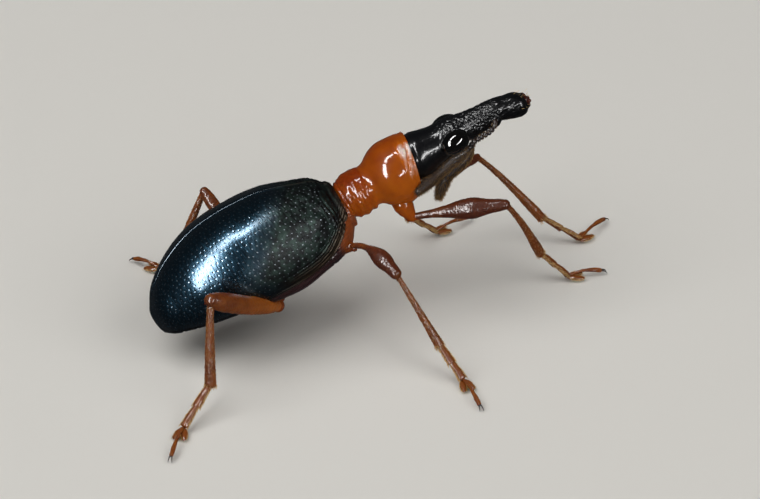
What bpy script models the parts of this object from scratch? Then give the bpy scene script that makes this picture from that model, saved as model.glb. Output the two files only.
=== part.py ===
"""Sweet potato weevil, a still life-size model standing on its six feet.

The body runs along +X and is pitched head up and rolled a little to its left.
Body pieces are drawn in the body's own frame: x forward along its axis, y to the
left, z to the back, with the origin in the middle of the prothorax.
The legs run from the body to feet that stand flat on the plane z = 0.
"""
import math

import bmesh
import bpy
import numpy as np
from mathutils import Euler, Matrix, Vector

MM = 0.001

# Stance of the body, in millimetres and degrees
BODY_HEIGHT = 2.43
BODY_PITCH = 22.0
BODY_ROLL = 14.0
STANCE_CENTRE = Vector((-0.561, -0.443, 0.0))

# Gap that neighbouring pieces keep
GAP = 0.05

# Lengthwise places of the main divisions, body frame
PROTHORAX_FRONT = 0.345
PROTHORAX_BACK = -0.92
HINDBODY_FRONT = -0.97
HINDBODY_BACK = -4.48
MESOTHORAX_BACK = -1.56
METATHORAX_BACK = -2.78

# Outline knots (place along the body, size), body frame
HINDBODY_HALF_WIDTH = [(-4.48, 0.14), (-4.38, 0.34), (-4.05, 0.61), (-3.68, 0.79), (-3.27, 0.905),
                       (-2.84, 0.955), (-2.41, 0.965), (-1.98, 0.9), (-1.48, 0.73), (-1.14, 0.53),
                       (-0.97, 0.36)]
ELYTRA_CROWN = [(-4.48, 0.148), (-4.38, 0.309), (-4.05, 0.626), (-3.68, 0.833), (-3.27, 0.967),
                (-2.84, 1.009), (-2.41, 0.991), (-1.98, 0.927), (-1.48, 0.737), (-1.14, 0.564),
                (-0.97, 0.387)]
ELYTRA_MARGIN = [(-4.48, -0.20), (-4.38, -0.24), (-4.05, -0.30), (-3.39, -0.38), (-2.58, -0.42),
                 (-2.13, -0.45), (-1.70, -0.45), (-1.40, -0.38), (-1.10, -0.18), (-0.97, -0.05)]
BELLY_LEVEL = [(-4.48, -0.29), (-4.38, -0.335), (-4.05, -0.41), (-3.39, -0.52), (-2.58, -0.72),
               (-2.13, -0.79), (-1.70, -0.75), (-1.40, -0.74), (-1.10, -0.62), (-0.97, -0.45)]
# Depth of the oval that the flanks follow, as a share of the belly's depth, and the least
# share, squared, that it narrows to
FLANK_ROUND = 1.15
FLANK_LEAST = 0.04
# Power of the rounded oval that the elytra follow over the back
BACK_ROUND = 2.2
PROTHORAX_RADIUS = [(-0.92, 0.305), (-0.84, 0.35), (-0.74, 0.38), (-0.64, 0.388), (-0.52, 0.376),
                    (-0.42, 0.352), (-0.34, 0.362), (-0.26, 0.405), (-0.16, 0.46), (-0.06, 0.494),
                    (0.04, 0.519), (0.12, 0.527), (0.2, 0.517), (0.3, 0.48), (0.345, 0.452)]
BODY_LEVEL = 0.015
COLLAR_LEAN = 0.24
LEAN_START = 0.10
# How far the chest swells, from where to where along the body, and from which share of the
# height downwards, over which share of it
CHEST_SWELL = 0.05
CHEST_BACK = -0.42
CHEST_FRONT = 0.40
CHEST_TOP = 0.45
CHEST_FADE = 0.40

# Head and rostrum sections: place, level of the middle, half width, half height
HEAD_SECTIONS = [(0.28, 0.02, 0.36, 0.37), (0.45, 0.02, 0.385, 0.395), (0.52, 0.02, 0.385, 0.40),
                 (0.68, 0.025, 0.345, 0.352), (0.88, 0.02, 0.31, 0.305), (1.06, 0.03, 0.305, 0.285),
                 (1.22, 0.03, 0.285, 0.265), (1.34, 0.02, 0.24, 0.245), (1.44, 0.008, 0.218, 0.232)]
ROSTRUM_SECTIONS = [(1.49, 0.0, 0.205, 0.232), (1.64, -0.01, 0.178, 0.220), (1.84, -0.015, 0.172, 0.205),
                    (2.00, -0.046, 0.175, 0.208), (2.14, -0.10, 0.185, 0.215), (2.28, -0.139, 0.19, 0.211),
                    (2.38, -0.152, 0.175, 0.160), (2.46, -0.158, 0.12, 0.11)]
HEAD_ROLL = 6.0
HEAD_LEVEL = 0.03
EYE_CENTRE = (1.11, 0.28, 0.03)
EYE_RADII = (0.255, 0.190, 0.190)
MANDIBLE_CENTRE = (2.46, 0.050, -0.172)
MANDIBLE_RADII = (0.075, 0.050, 0.045)

# Antennae folded back under the head: route knots of the right and left one
ANTENNA_ROUTES = {
    "right": {"funicle": [(1.86, -0.165, -0.09), (1.80, -0.22, -0.145), (1.68, -0.25, -0.18),
                          (1.52, -0.265, -0.18), (1.37, -0.28, -0.175), (1.25, -0.235, -0.25)],
              "club": [(1.25, -0.235, -0.25), (1.12, -0.17, -0.32), (0.925, -0.135, -0.36),
                       (0.652, -0.155, -0.392), (0.402, -0.30, -0.385), (0.20, -0.46, -0.35)]},
    "left": {"funicle": [(1.86, 0.165, -0.09), (1.80, 0.225, -0.15), (1.66, 0.25, -0.23),
                         (1.48, 0.235, -0.33), (1.31, 0.195, -0.45)],
             "club": [(1.31, 0.195, -0.45), (1.15, 0.185, -0.545), (0.893, 0.17, -0.605),
                      (0.658, 0.185, -0.70), (0.517, 0.20, -0.823), (0.44, 0.205, -0.905)]},
}
FUNICLE_BEADS = 8
BEAD_RADIUS = 0.056
BEAD_WAIST = 0.040
CLUB_RADIUS = 0.095
CLUB_POINTS = 14
# Share of the club's length, share of its radius
CLUB_SHAPE = [(0.0, 0.60), (0.12, 0.88), (0.5, 1.0), (0.85, 0.92), (1.0, 0.42)]

# Legs: coxa root and hip in the body frame for the right side, coxa radius, and the radius
# along the femur by share of its length
LEG_PAIRS = {
    "front": {"root": (-0.13, -0.15, -0.42), "hip": (-0.11, -0.24, -0.75), "coxa_radius": 0.150,
              "femur": [(0.0, 0.070), (0.228, 0.076), (0.40, 0.112), (0.49, 0.146), (0.58, 0.168),
                        (0.667, 0.174), (0.754, 0.148), (0.842, 0.120), (1.0, 0.090)]},
    "middle": {"root": (-1.36, -0.20, -0.50), "hip": (-1.19, -0.454, -0.534), "coxa_radius": 0.150,
               "femur": [(0.0, 0.070), (0.40, 0.070), (0.55, 0.105), (0.68, 0.142), (0.78, 0.136),
                         (0.87, 0.111), (1.0, 0.085)]},
    "hind": {"root": (-2.54, -0.30, -0.54), "hip": (-2.70, -0.50, -0.71), "coxa_radius": 0.150,
             "femur": [(0.0, 0.105), (0.15, 0.130), (0.35, 0.150), (0.55, 0.160), (0.70, 0.166),
                       (0.88, 0.158), (1.0, 0.125)]},
}
# Where each leg stands: knee, ankle, pad under the third tarsal segment, and claws,
# from the point on the floor below the prothorax, and how far the femur arches
STANCE = {
    "leg_front_right": {"knee": (1.553, -1.007, 1.997), "ankle": (2.21, -0.634, 0.589),
                        "pad": (2.78, -0.78), "claws": (3.16, -0.82), "bow": (0.0, 0.0, 0.02)},
    "leg_front_left": {"knee": (1.679, 0.733, 1.745), "ankle": (2.61, 0.41, 0.48),
                       "pad": (3.28, 0.20), "claws": (3.69, 0.48), "bow": (0.0, 0.0, 0.12)},
    "leg_middle_right": {"knee": (-0.592, -1.753, 1.756), "ankle": (-0.116, -2.291, 0.571),
                         "pad": (0.12, -2.89), "claws": (0.13, -3.44), "bow": (0.0, 0.0, 0.18)},
    "leg_middle_left": {"knee": (0.23, 0.91, 1.73), "ankle": (0.63, 1.27, 0.50),
                        "pad": (1.22, 1.30), "claws": (1.66, 1.42), "bow": (0.0, 0.0, 0.14)},
    "leg_hind_right": {"knee": (-3.565, -1.324, 1.82), "ankle": (-3.80, -1.723, 0.498),
                       "pad": (-4.52, -2.27), "claws": (-4.83, -2.74), "bow": (0.0, -0.10, 0.025)},
    "leg_hind_left": {"knee": (-2.68, 1.65, 1.74), "ankle": (-3.32, 1.57, 0.444),
                      "pad": (-3.50, 2.26), "claws": (-3.69, 2.54), "bow": (0.0, 0.10, 0.025)},
}
ARCH_PEAK = 0.45
COXA_SHAPE = (1.0, 1.05, 1.0, 0.85, 0.72, 0.68)
COXA_OVERRUN = 0.08
LEAST_RADIUS = 0.070
# Femora that are seen thinner than those of the other side, as a share of their radius
SLENDER_FEMORA = {"leg_front_left": 0.82, "leg_hind_left": 0.75}
# Thickness along a tibia and a tarsus: share of the length, radius
TIBIA_RADIUS = [(0.0, 0.078), (0.20, 0.072), (0.60, 0.078), (0.88, 0.092), (1.0, 0.100)]
TARSUS_RADIUS = [(0.0, 0.062), (0.40, 0.082), (0.46, 0.064), (0.82, 0.092), (1.0, 0.080)]
TARSUS_LEVEL = 0.095
LOBE_RADII = (0.150, 0.075, 0.085)
LOBE_SPREAD = 0.085
LOBE_LEVEL = 0.060
CLAW_SEGMENT_LEVEL = 0.110
# Share of the claw segment's length, radius
CLAW_SEGMENT_RADIUS = [(0.0, 0.055), (0.35, 0.050), (0.75, 0.055), (1.0, 0.065)]
CLAW_SEGMENT_OVERLAP = 0.05
CLAW_LENGTH = 0.14
CLAW_SPLAY = 0.5
CLAW_RADII = (0.040, 0.034, 0.016)
CLAW_TIP_LEVEL = 0.035
CLAW_OVERLAP = 0.03
CLAW_BASE_SPREAD = 0.015

SECTION_SIDES = 20
ELYTRON_STATIONS = 22
TUBE_POINTS = 9
OVERRUN = 0.14
PROTHORAX_STATIONS = 20
EYE_SIDES = (16, 10)
LOBE_SIDES = (12, 8)
MANDIBLE_SIDES = (10, 6)

BODY = Matrix.Translation((Vector((0.0, 0.0, BODY_HEIGHT)) - STANCE_CENTRE)) @ Euler(
    (-math.radians(BODY_ROLL), -math.radians(BODY_PITCH), 0.0)).to_matrix().to_4x4()

COLOURS = {
    "elytra": ("0B1422", 0.22, 0.85),
    "prothorax": ("B4500F", 0.22, 0.0),
    "sternum": ("9A4A16", 0.35, 0.0),
    "abdomen": ("1A1210", 0.40, 0.2),
    "head": ("0A0A0C", 0.25, 0.1),
    "eye": ("060607", 0.10, 0.0),
    "antenna": ("5A3A24", 0.60, 0.0),
    "leg": ("7A3A1F", 0.35, 0.0),
}


def linear(channel):
    """Turn one sRGB channel from 0 to 1 into its linear value."""
    if channel <= 0.04045:
        return channel / 12.92
    return ((channel + 0.055) / 1.055) ** 2.4


def make_material(name, code, roughness, metallic):
    """Plain Principled finish of one colour."""
    material = bpy.data.materials.new(name)
    material.use_nodes = True
    shader = material.node_tree.nodes["Principled BSDF"]
    rgb = [linear(int(code[i:i + 2], 16) / 255.0) for i in (0, 2, 4)]
    shader.inputs["Base Color"].default_value = (*rgb, 1.0)
    shader.inputs["Roughness"].default_value = roughness
    shader.inputs["Metallic"].default_value = metallic
    return material


def smooth(places, knots):
    """Value at each place of a smooth curve through (place, value) knots.

    Cubic Hermite pieces whose slope at a knot is that of the line through its neighbours.
    """
    xs, ys = np.array(sorted(knots)).T
    slopes = np.gradient(ys, xs)
    at = np.clip(places, xs[0], xs[-1])
    i = np.clip(np.searchsorted(xs, at) - 1, 0, len(xs) - 2)
    width = xs[i + 1] - xs[i]
    t = (at - xs[i]) / width
    start = ys[i] * (1 + 2 * t) * (1 - t) ** 2 + slopes[i] * width * t * (1 - t) ** 2
    end = ys[i + 1] * t ** 2 * (3 - 2 * t) + slopes[i + 1] * width * t ** 2 * (t - 1)
    return start + end


def smooth_route(knots, count):
    """Evenly spread points on a smooth curve through three-dimensional knots."""
    knots = np.array(knots)
    steps = np.linalg.norm(np.diff(knots, axis=0), axis=1)
    along = np.concatenate([[0.0], np.cumsum(steps)])
    places = np.linspace(0.0, along[-1], count)
    axes = [smooth(places, list(zip(along, knots[:, axis]))) for axis in range(3)]
    return np.stack(axes, axis=1)


def eased(first, last, count):
    """Places from first to last, closer together at both ends."""
    share = 0.5 - 0.5 * np.cos(np.linspace(0.0, math.pi, count))
    return first + (last - first) * share


def add_object(name, mesh, collection):
    """Wrap a mesh in an object of the same name."""
    item = bpy.data.objects.new(name, mesh)
    collection.objects.link(item)
    return item


def loft(name, rings, collection):
    """Closed solid through rings of matching points, given in millimetres."""
    rings = np.array(rings)
    stations, sides, _ = rings.shape
    faces = []
    for i in range(stations - 1):
        for j in range(sides):
            k = (j + 1) % sides
            faces.append((i * sides + j, i * sides + k, (i + 1) * sides + k, (i + 1) * sides + j))
    faces.append(tuple(reversed(range(sides))))
    faces.append(tuple(range((stations - 1) * sides, stations * sides)))
    mesh = bpy.data.meshes.new(name)
    mesh.from_pydata((rings.reshape(-1, 3) * MM).tolist(), [], faces)
    mesh.validate()
    outward(mesh)
    return add_object(name, mesh, collection)


def outward(mesh):
    """Turn every face of a closed mesh to point out."""
    work = bmesh.new()
    work.from_mesh(mesh)
    bmesh.ops.recalc_face_normals(work, faces=work.faces)
    work.to_mesh(mesh)
    work.free()


def tube(name, points, radii, collection, resolution=2):
    """Round bar along points with a radius at each, closed at both ends."""
    curve = bpy.data.curves.new(name, "CURVE")
    curve.dimensions = "3D"
    curve.bevel_depth = MM
    curve.bevel_resolution = resolution
    curve.use_fill_caps = True
    spline = curve.splines.new("POLY")
    spline.points.add(len(points) - 1)
    for item, point, radius in zip(spline.points, points, radii):
        item.co = (*[float(c) * MM for c in point], 1.0)
        item.radius = float(radius)
    return as_mesh(add_object(name, curve, collection), collection)


def as_mesh(item, collection):
    """Replace a curve object by a welded mesh object of the same name and place."""
    bpy.context.view_layer.update()
    evaluated = item.evaluated_get(bpy.context.evaluated_depsgraph_get())
    mesh = bpy.data.meshes.new_from_object(evaluated)
    place = item.matrix_world.copy()
    name = item.name
    bpy.data.objects.remove(item)
    work = bmesh.new()
    work.from_mesh(mesh)
    bmesh.ops.remove_doubles(work, verts=work.verts, dist=1e-8)
    bmesh.ops.recalc_face_normals(work, faces=work.faces)
    work.to_mesh(mesh)
    work.free()
    mesh.name = name
    item = add_object(name, mesh, collection)
    item.matrix_world = place
    return item


def ellipsoid(name, centre, radii, collection, sides, turn=0.0):
    """Ball squashed to three radii, turned about Z, in millimetres."""
    mesh = bpy.data.meshes.new(name)
    work = bmesh.new()
    bmesh.ops.create_uvsphere(work, u_segments=sides[0], v_segments=sides[1], radius=1.0)
    place = Matrix.Translation(Vector(centre) * MM) @ Matrix.Rotation(turn, 4, "Z")
    size = Matrix.Diagonal((*[r * MM for r in radii], 1.0))
    bmesh.ops.transform(work, matrix=place @ size, verts=work.verts)
    work.to_mesh(mesh)
    work.free()
    return add_object(name, mesh, collection)


def trim(item, point, normal, clearance):
    """Cut away what lies past a plane, less the clearance, and close the cut."""
    work = bmesh.new()
    work.from_mesh(item.data)
    geometry = work.verts[:] + work.edges[:] + work.faces[:]
    cut = (Vector(point) - Vector(normal).normalized() * clearance) * MM
    result = bmesh.ops.bisect_plane(work, geom=geometry, dist=1e-9, plane_co=cut,
                                    plane_no=Vector(normal), clear_outer=True)
    edges = [e for e in result["geom_cut"] if isinstance(e, bmesh.types.BMEdge)]
    bmesh.ops.holes_fill(work, edges=edges, sides=0)
    bmesh.ops.recalc_face_normals(work, faces=work.faces)
    work.to_mesh(item.data)
    work.free()


def combine(item, others, operation):
    """Join pieces to an item or cut them from it, and remove them."""
    group = bpy.data.collections.new("operands")
    bpy.context.scene.collection.children.link(group)
    for other in others:
        group.objects.link(other)
    modifier = item.modifiers.new("combine", "BOOLEAN")
    modifier.operation = operation
    modifier.operand_type = "COLLECTION"
    modifier.collection = group
    modifier.solver = "EXACT"
    bpy.context.view_layer.update()
    evaluated = item.evaluated_get(bpy.context.evaluated_depsgraph_get())
    mesh = bpy.data.meshes.new_from_object(evaluated)
    item.modifiers.clear()
    item.data = mesh
    for other in others:
        bpy.data.objects.remove(other)
    bpy.data.collections.remove(group)
    keep_largest(item)


def keep_largest(item):
    """Keep only the closed surface with the most room inside it."""
    work = bmesh.new()
    work.from_mesh(item.data)
    bmesh.ops.remove_doubles(work, verts=work.verts, dist=1e-8)
    work.verts.index_update()
    left = set(work.verts)
    groups = []
    while left:
        stack = [left.pop()]
        group = set(stack)
        while stack:
            for edge in stack.pop().link_edges:
                for vert in edge.verts:
                    if vert in left:
                        left.discard(vert)
                        group.add(vert)
                        stack.append(vert)
        groups.append(group)

    def room(group):
        points = np.array([v.co for v in group])
        return float(np.prod(points.max(axis=0) - points.min(axis=0)))

    groups.sort(key=room)
    for group in groups[:-1]:
        bmesh.ops.delete(work, geom=list(group), context="VERTS")
    bmesh.ops.recalc_face_normals(work, faces=work.faces)
    work.to_mesh(item.data)
    work.free()


def finish(item, material, frame=None):
    """Give a piece its finish and smooth shading, and hang it on its frame."""
    item.data.materials.clear()
    item.data.materials.append(material)
    item.data.shade_smooth()
    item.data.set_sharp_from_angle(angle=math.radians(50.0))
    if frame:
        item.parent = frame


def section(place, level, half_width, half_height, sides=SECTION_SIDES):
    """Oval ring across the body at one place."""
    turn = np.linspace(0.0, 2.0 * math.pi, sides, endpoint=False)
    across = half_width * np.sin(turn)
    upright = level + half_height * np.cos(turn)
    return np.column_stack([np.full(sides, place), across, upright])


def elytron_ring(place, side):
    """Outline of one elytron across the body: crown, flank down to the margin, flat inside."""
    width = smooth(place, HINDBODY_HALF_WIDTH)
    crown = smooth(place, ELYTRA_CROWN)
    margin = smooth(place, ELYTRA_MARGIN) + GAP / 2
    under = -FLANK_ROUND * smooth(place, BELLY_LEVEL)
    turn = np.linspace(0.0, math.pi / 2, 9)
    reach = (np.sin(turn) ** BACK_ROUND + np.cos(turn) ** BACK_ROUND) ** (1.0 / BACK_ROUND)
    upper = np.stack([width * np.sin(turn) / reach, crown * np.cos(turn) / reach], axis=1)
    low = np.linspace(0.0, margin, 5)[1:]
    lower = np.stack([width * np.sqrt(np.clip(1 - (low / under) ** 2, FLANK_LEAST, 1)), low], axis=1)
    flat = np.array([[0.0, margin]])
    yz = np.concatenate([upper, lower, flat])
    yz[:, 0] = side * np.maximum(yz[:, 0], GAP / 2)
    return np.column_stack([np.full(len(yz), place), yz])


def belly_ring(place, grow=0.0):
    """Outline of the underside across the body, flat on top under the elytra."""
    width = smooth(place, HINDBODY_HALF_WIDTH)
    under = -FLANK_ROUND * smooth(place, BELLY_LEVEL)
    margin = smooth(place, ELYTRA_MARGIN) - GAP / 2
    half = width * math.sqrt(max(1 - (margin / under) ** 2, FLANK_LEAST)) + grow
    depth = margin - smooth(place, BELLY_LEVEL) + grow
    turn = np.linspace(-math.pi / 2, math.pi / 2, 15)
    arc = np.stack([half * np.sin(turn), margin - depth * np.cos(turn)], axis=1)
    top = np.stack([half * np.linspace(0.5, -0.5, 3), np.full(3, margin)], axis=1)
    yz = np.concatenate([arc, top])
    return np.column_stack([np.full(len(yz), place), yz])


def prothorax_ring(place, grow=0.0):
    """Round ring of the prothorax, swollen below in the chest, leaning forward at the top."""
    radius = float(smooth(place, PROTHORAX_RADIUS)) + grow
    ring = section(place, 0.0, 1.0, 1.0)
    height = 0.5 + 0.5 * ring[:, 2]
    lowness = np.clip((CHEST_TOP - height) / CHEST_FADE, 0.0, 1.0)
    along = (place - CHEST_BACK) / (CHEST_FRONT - CHEST_BACK)
    swell = CHEST_SWELL * math.sin(math.pi * min(max(along, 0.0), 1.0)) ** 0.5 * lowness
    ring[:, 1:] *= (radius + swell)[:, None]
    ring[:, 2] += BODY_LEVEL
    lean = COLLAR_LEAN * np.clip((place - LEAN_START) / (PROTHORAX_FRONT - LEAN_START), 0.0, 1.0)
    ring[:, 0] += lean * ring[:, 2]
    return ring


def head_rings(sections, grow=0.0):
    """Oval rings through head or rostrum sections, with smooth stations between them."""
    places = [row[0] for row in sections]
    at = np.linspace(places[0], places[-1], 2 * len(places) - 1)
    columns = [smooth(at, [(row[0], row[i]) for row in sections]) for i in (1, 2, 3)]
    return [section(x, level, wide + grow, high + grow) for x, level, wide, high in zip(at, *columns)]


def build_hindbody(parts, frame, finishes):
    """Elytra on top, mesothorax, metathorax and abdomen below them."""
    places = eased(HINDBODY_BACK, HINDBODY_FRONT, ELYTRON_STATIONS)
    for side, word in ((-1, "right"), (1, "left")):
        item = loft("elytron_" + word, [elytron_ring(x, side) for x in places], parts)
        finish(item, finishes["elytra"], frame)
    for name, back, front, look in (("mesothorax", MESOTHORAX_BACK, HINDBODY_FRONT, "sternum"),
                                    ("metathorax", METATHORAX_BACK, MESOTHORAX_BACK - GAP, "sternum"),
                                    ("abdomen", HINDBODY_BACK, METATHORAX_BACK - GAP, "abdomen")):
        count = 7 if name != "abdomen" else 11
        item = loft(name, [belly_ring(x) for x in np.linspace(back, front, count)], parts)
        finish(item, finishes[look], frame)


def build_prothorax(parts, frame, finishes):
    """Globose front lobe and narrower base with a waist between."""
    places = eased(PROTHORAX_BACK, PROTHORAX_FRONT, PROTHORAX_STATIONS)
    item = loft("prothorax", [prothorax_ring(x) for x in places], parts)
    finish(item, finishes["prothorax"], frame)


def rolled(item):
    """Roll a piece of the head about the head's own long axis."""
    middle = Matrix.Translation((0.0, 0.0, HEAD_LEVEL * MM))
    turn = Matrix.Rotation(math.radians(HEAD_ROLL), 4, "X")
    item.data.transform(middle @ turn @ middle.inverted())
    return item


def build_head(parts, cutters, frame, finishes):
    """Head with its base leaning like the collar, rostrum with mandibles, and eyes."""
    head = rolled(loft("head", head_rings(HEAD_SECTIONS), parts))
    collar = Vector((PROTHORAX_FRONT + GAP, 0.0, 0.0))
    trim(head, collar, (-1.0, 0.0, COLLAR_LEAN), 0.0)
    finish(head, finishes["head"], frame)

    rostrum = loft("rostrum", head_rings(ROSTRUM_SECTIONS), parts)
    x, y, z = MANDIBLE_CENTRE
    mandibles = [ellipsoid("mandible", (x, s * y, z), MANDIBLE_RADII, cutters, MANDIBLE_SIDES)
                 for s in (-1, 1)]
    combine(rostrum, mandibles, "UNION")
    finish(rolled(rostrum), finishes["head"], frame)

    for side, word in ((-1, "right"), (1, "left")):
        x, y, z = EYE_CENTRE
        eye = ellipsoid("eye_" + word, (x, side * y, z), EYE_RADII, parts, EYE_SIDES)
        combine(eye, [loft("head_room", head_rings(HEAD_SECTIONS, GAP), cutters)], "DIFFERENCE")
        finish(rolled(eye), finishes["eye"], frame)


def build_antennae(parts, cutters, frame, finishes):
    """Beaded funicle and long club of each antenna, folded back under the head."""
    for word, routes in ANTENNA_ROUTES.items():
        joint = Vector(routes["club"][0])
        club_route = smooth_route(routes["club"], CLUB_POINTS)
        stem_route, stem_radii, forward = funicle_route(routes["funicle"], joint)
        onward = (Vector(club_route[1]) - joint).normalized()
        normal = (forward + onward).normalized()
        funicle = tube("antenna_%s_funicle" % word, stem_route, stem_radii, parts)
        trim(funicle, joint, normal, GAP / 2)
        room = rolled(loft("rostrum_room", head_rings(ROSTRUM_SECTIONS, GAP), cutters))
        combine(funicle, [room], "DIFFERENCE")
        finish(funicle, finishes["antenna"], frame)

        radii = CLUB_RADIUS * smooth(np.linspace(0.0, 1.0, CLUB_POINTS), CLUB_SHAPE)
        club_route = np.vstack([np.array(joint - onward * BEAD_RADIUS), club_route])
        club = tube("antenna_%s_club" % word, club_route, np.concatenate([[radii[0]], radii]), parts)
        trim(club, joint, -normal, GAP / 2)
        rooms = [rolled(loft("head_room", head_rings(HEAD_SECTIONS, GAP), cutters)),
                 loft("chest_room", [prothorax_ring(x, GAP) for x in room_places("front")], cutters)]
        combine(club, rooms, "DIFFERENCE")
        finish(club, finishes["antenna"], frame)


def funicle_route(knots, joint):
    """Points and radii of a string of beads, a little past the joint with the club, and its heading."""
    count = 4 * FUNICLE_BEADS + 1
    route = smooth_route(knots, count)
    swell = np.abs(np.sin(math.pi * np.linspace(0.0, FUNICLE_BEADS, count)))
    radii = BEAD_WAIST + (BEAD_RADIUS - BEAD_WAIST) * swell
    heading = (joint - Vector(route[-3])).normalized()
    route = np.vstack([route, np.array(joint + heading * BEAD_RADIUS)])
    return route, np.append(radii, BEAD_WAIST), heading


def arched(start, end, bow, count, overrun):
    """Points from start to end, pushed aside by the bow, and past both ends by the overrun."""
    start, end = np.array(start), np.array(end)
    step = np.linalg.norm(end - start) / (count - 1)
    share = np.linspace(0.0, 1.0, count)[:, None]
    bent = share ** (math.log(0.5) / math.log(ARCH_PEAK))
    points = start + (end - start) * share + np.sin(math.pi * bent) * np.array(bow)
    first = points[0] + (points[0] - points[1]) / step * overrun
    last = points[-1] + (points[-1] - points[-2]) / step * overrun
    return np.vstack([first, points, last])


def mitre(before, joint, after):
    """Normal of the plane that halves the bend at a joint."""
    return ((joint - before).normalized() + (after - joint).normalized()).normalized()


def build_tarsus(name, ankle, pad, claws, normal, parts, cutters):
    """Two tarsal segments, a third of two lobes flat on the floor, and a segment with two claws."""
    heading = (claws - pad).normalized()
    across = Vector((-heading.y, heading.x, 0.0))
    above_pad = Vector((pad.x, pad.y, TARSUS_LEVEL))
    start = ankle - (above_pad - ankle).normalized() * OVERRUN * 0.5
    share = np.linspace(0.0, 1.0, 8)
    route = np.array(start) + (np.array(above_pad) - np.array(start)) * share[:, None]
    main = tube(name, route, smooth(share, TARSUS_RADIUS), parts)

    turn = math.atan2(heading.y, heading.x)
    others = []
    for side in (-1, 1):
        centre = pad + across * LOBE_SPREAD * side + Vector((0.0, 0.0, LOBE_LEVEL))
        others.append(ellipsoid("lobe", centre, LOBE_RADII, cutters, LOBE_SIDES, turn))
    root = Vector((pad.x, pad.y, CLAW_SEGMENT_LEVEL)) - heading * CLAW_SEGMENT_OVERLAP
    tip = Vector((claws.x, claws.y, CLAW_SEGMENT_LEVEL))
    points = [root.lerp(tip, t) for t, _ in CLAW_SEGMENT_RADIUS]
    others.append(tube("claw_segment", points, [radius for _, radius in CLAW_SEGMENT_RADIUS], cutters))
    for side in (-1, 1):
        out = heading + across * side * CLAW_SPLAY
        base = tip - heading * CLAW_OVERLAP + across * side * CLAW_BASE_SPREAD
        bend = tip + out * CLAW_LENGTH * 0.5
        end = tip + out * CLAW_LENGTH + Vector((0.0, 0.0, CLAW_TIP_LEVEL - CLAW_SEGMENT_LEVEL))
        others.append(tube("claw", [base, bend, end], CLAW_RADII, cutters))
    combine(main, others, "UNION")
    trim(main, ankle, -normal, GAP / 2)
    trim(main, (0.0, 0.0, 0.0), (0.0, 0.0, -1.0), 0.0)
    keep_largest(main)
    return main


def build_legs(parts, cutters, finishes):
    """Six legs, each of coxa, femur, tibia and tarsus that meet at mitred joints."""
    straight = (0.0, 0.0, 0.0)
    share = np.linspace(0.0, 1.0, TUBE_POINTS)
    for name, stance in STANCE.items():
        _, pair, word = name.split("_")
        sizes = LEG_PAIRS[pair]
        side = -1 if word == "right" else 1
        root = BODY @ Vector((sizes["root"][0], -side * sizes["root"][1], sizes["root"][2]))
        hip = BODY @ Vector((sizes["hip"][0], -side * sizes["hip"][1], sizes["hip"][2]))
        knee = Vector(stance["knee"]) - STANCE_CENTRE
        ankle = Vector(stance["ankle"]) - STANCE_CENTRE
        pad = Vector((*stance["pad"], 0.0)) - STANCE_CENTRE
        claws = Vector((*stance["claws"], 0.0)) - STANCE_CENTRE
        at_hip = mitre(root, hip, knee)
        at_knee = mitre(hip, knee, ankle)
        at_ankle = mitre(knee, ankle, pad + Vector((0.0, 0.0, LOBE_LEVEL)))

        coxa = tube(name + "_coxa", arched(root, hip, straight, 4, COXA_OVERRUN),
                    sizes["coxa_radius"] * np.array(COXA_SHAPE), parts, 3)
        trim(coxa, hip, at_hip, GAP / 2)
        combine(coxa, [body_room(pair, cutters)], "DIFFERENCE")
        finish(coxa, finishes["sternum"])

        radii = smooth(share, sizes["femur"])
        radii = np.maximum(radii * SLENDER_FEMORA.get(name, 1.0), LEAST_RADIUS)
        femur = tube(name + "_femur", arched(hip, knee, stance["bow"], TUBE_POINTS, OVERRUN),
                     np.concatenate([[radii[0]], radii, [radii[-1]]]), parts, 3)
        trim(femur, hip, -at_hip, GAP / 2)
        trim(femur, knee, at_knee, GAP / 2)
        finish(femur, finishes["leg"])

        radii = smooth(share, TIBIA_RADIUS)
        tibia = tube(name + "_tibia", arched(knee, ankle, straight, TUBE_POINTS, OVERRUN),
                     np.concatenate([[radii[0]], radii, [radii[-1]]]), parts)
        trim(tibia, knee, -at_knee, GAP / 2)
        trim(tibia, ankle, at_ankle, GAP / 2)
        finish(tibia, finishes["leg"])

        tarsus = build_tarsus(name + "_tarsus", ankle, pad, claws, at_ankle, parts, cutters)
        finish(tarsus, finishes["leg"])


def room_places(pair):
    """Places of the rings through the part of the body near a pair of legs."""
    if pair == "front":
        return np.linspace(PROTHORAX_BACK, PROTHORAX_FRONT, 18)
    return np.linspace(HINDBODY_BACK, HINDBODY_FRONT, 26)


def body_room(pair, cutters):
    """The body near a pair of legs, grown by the gap, to cut the coxae clear of it."""
    ring = prothorax_ring if pair == "front" else belly_ring
    room = loft("body_room", [ring(x, GAP) for x in room_places(pair)], cutters)
    room.matrix_world = Matrix.LocRotScale(BODY.translation * MM, BODY.to_quaternion(), None)
    return room


def main():
    for item in list(bpy.data.objects):
        bpy.data.objects.remove(item)
    parts = bpy.data.collections.new("sweet_potato_weevil")
    cutters = bpy.data.collections.new("cutters")
    bpy.context.scene.collection.children.link(parts)
    bpy.context.scene.collection.children.link(cutters)
    finishes = {name: make_material(name, *look) for name, look in COLOURS.items()}
    frame = bpy.data.objects.new("body_frame", None)
    parts.objects.link(frame)
    frame.location = BODY.translation * MM
    frame.rotation_euler = BODY.to_euler()
    build_hindbody(parts, frame, finishes)
    build_prothorax(parts, frame, finishes)
    build_head(parts, cutters, frame, finishes)
    build_antennae(parts, cutters, frame, finishes)
    build_legs(parts, cutters, finishes)


main()
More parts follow.
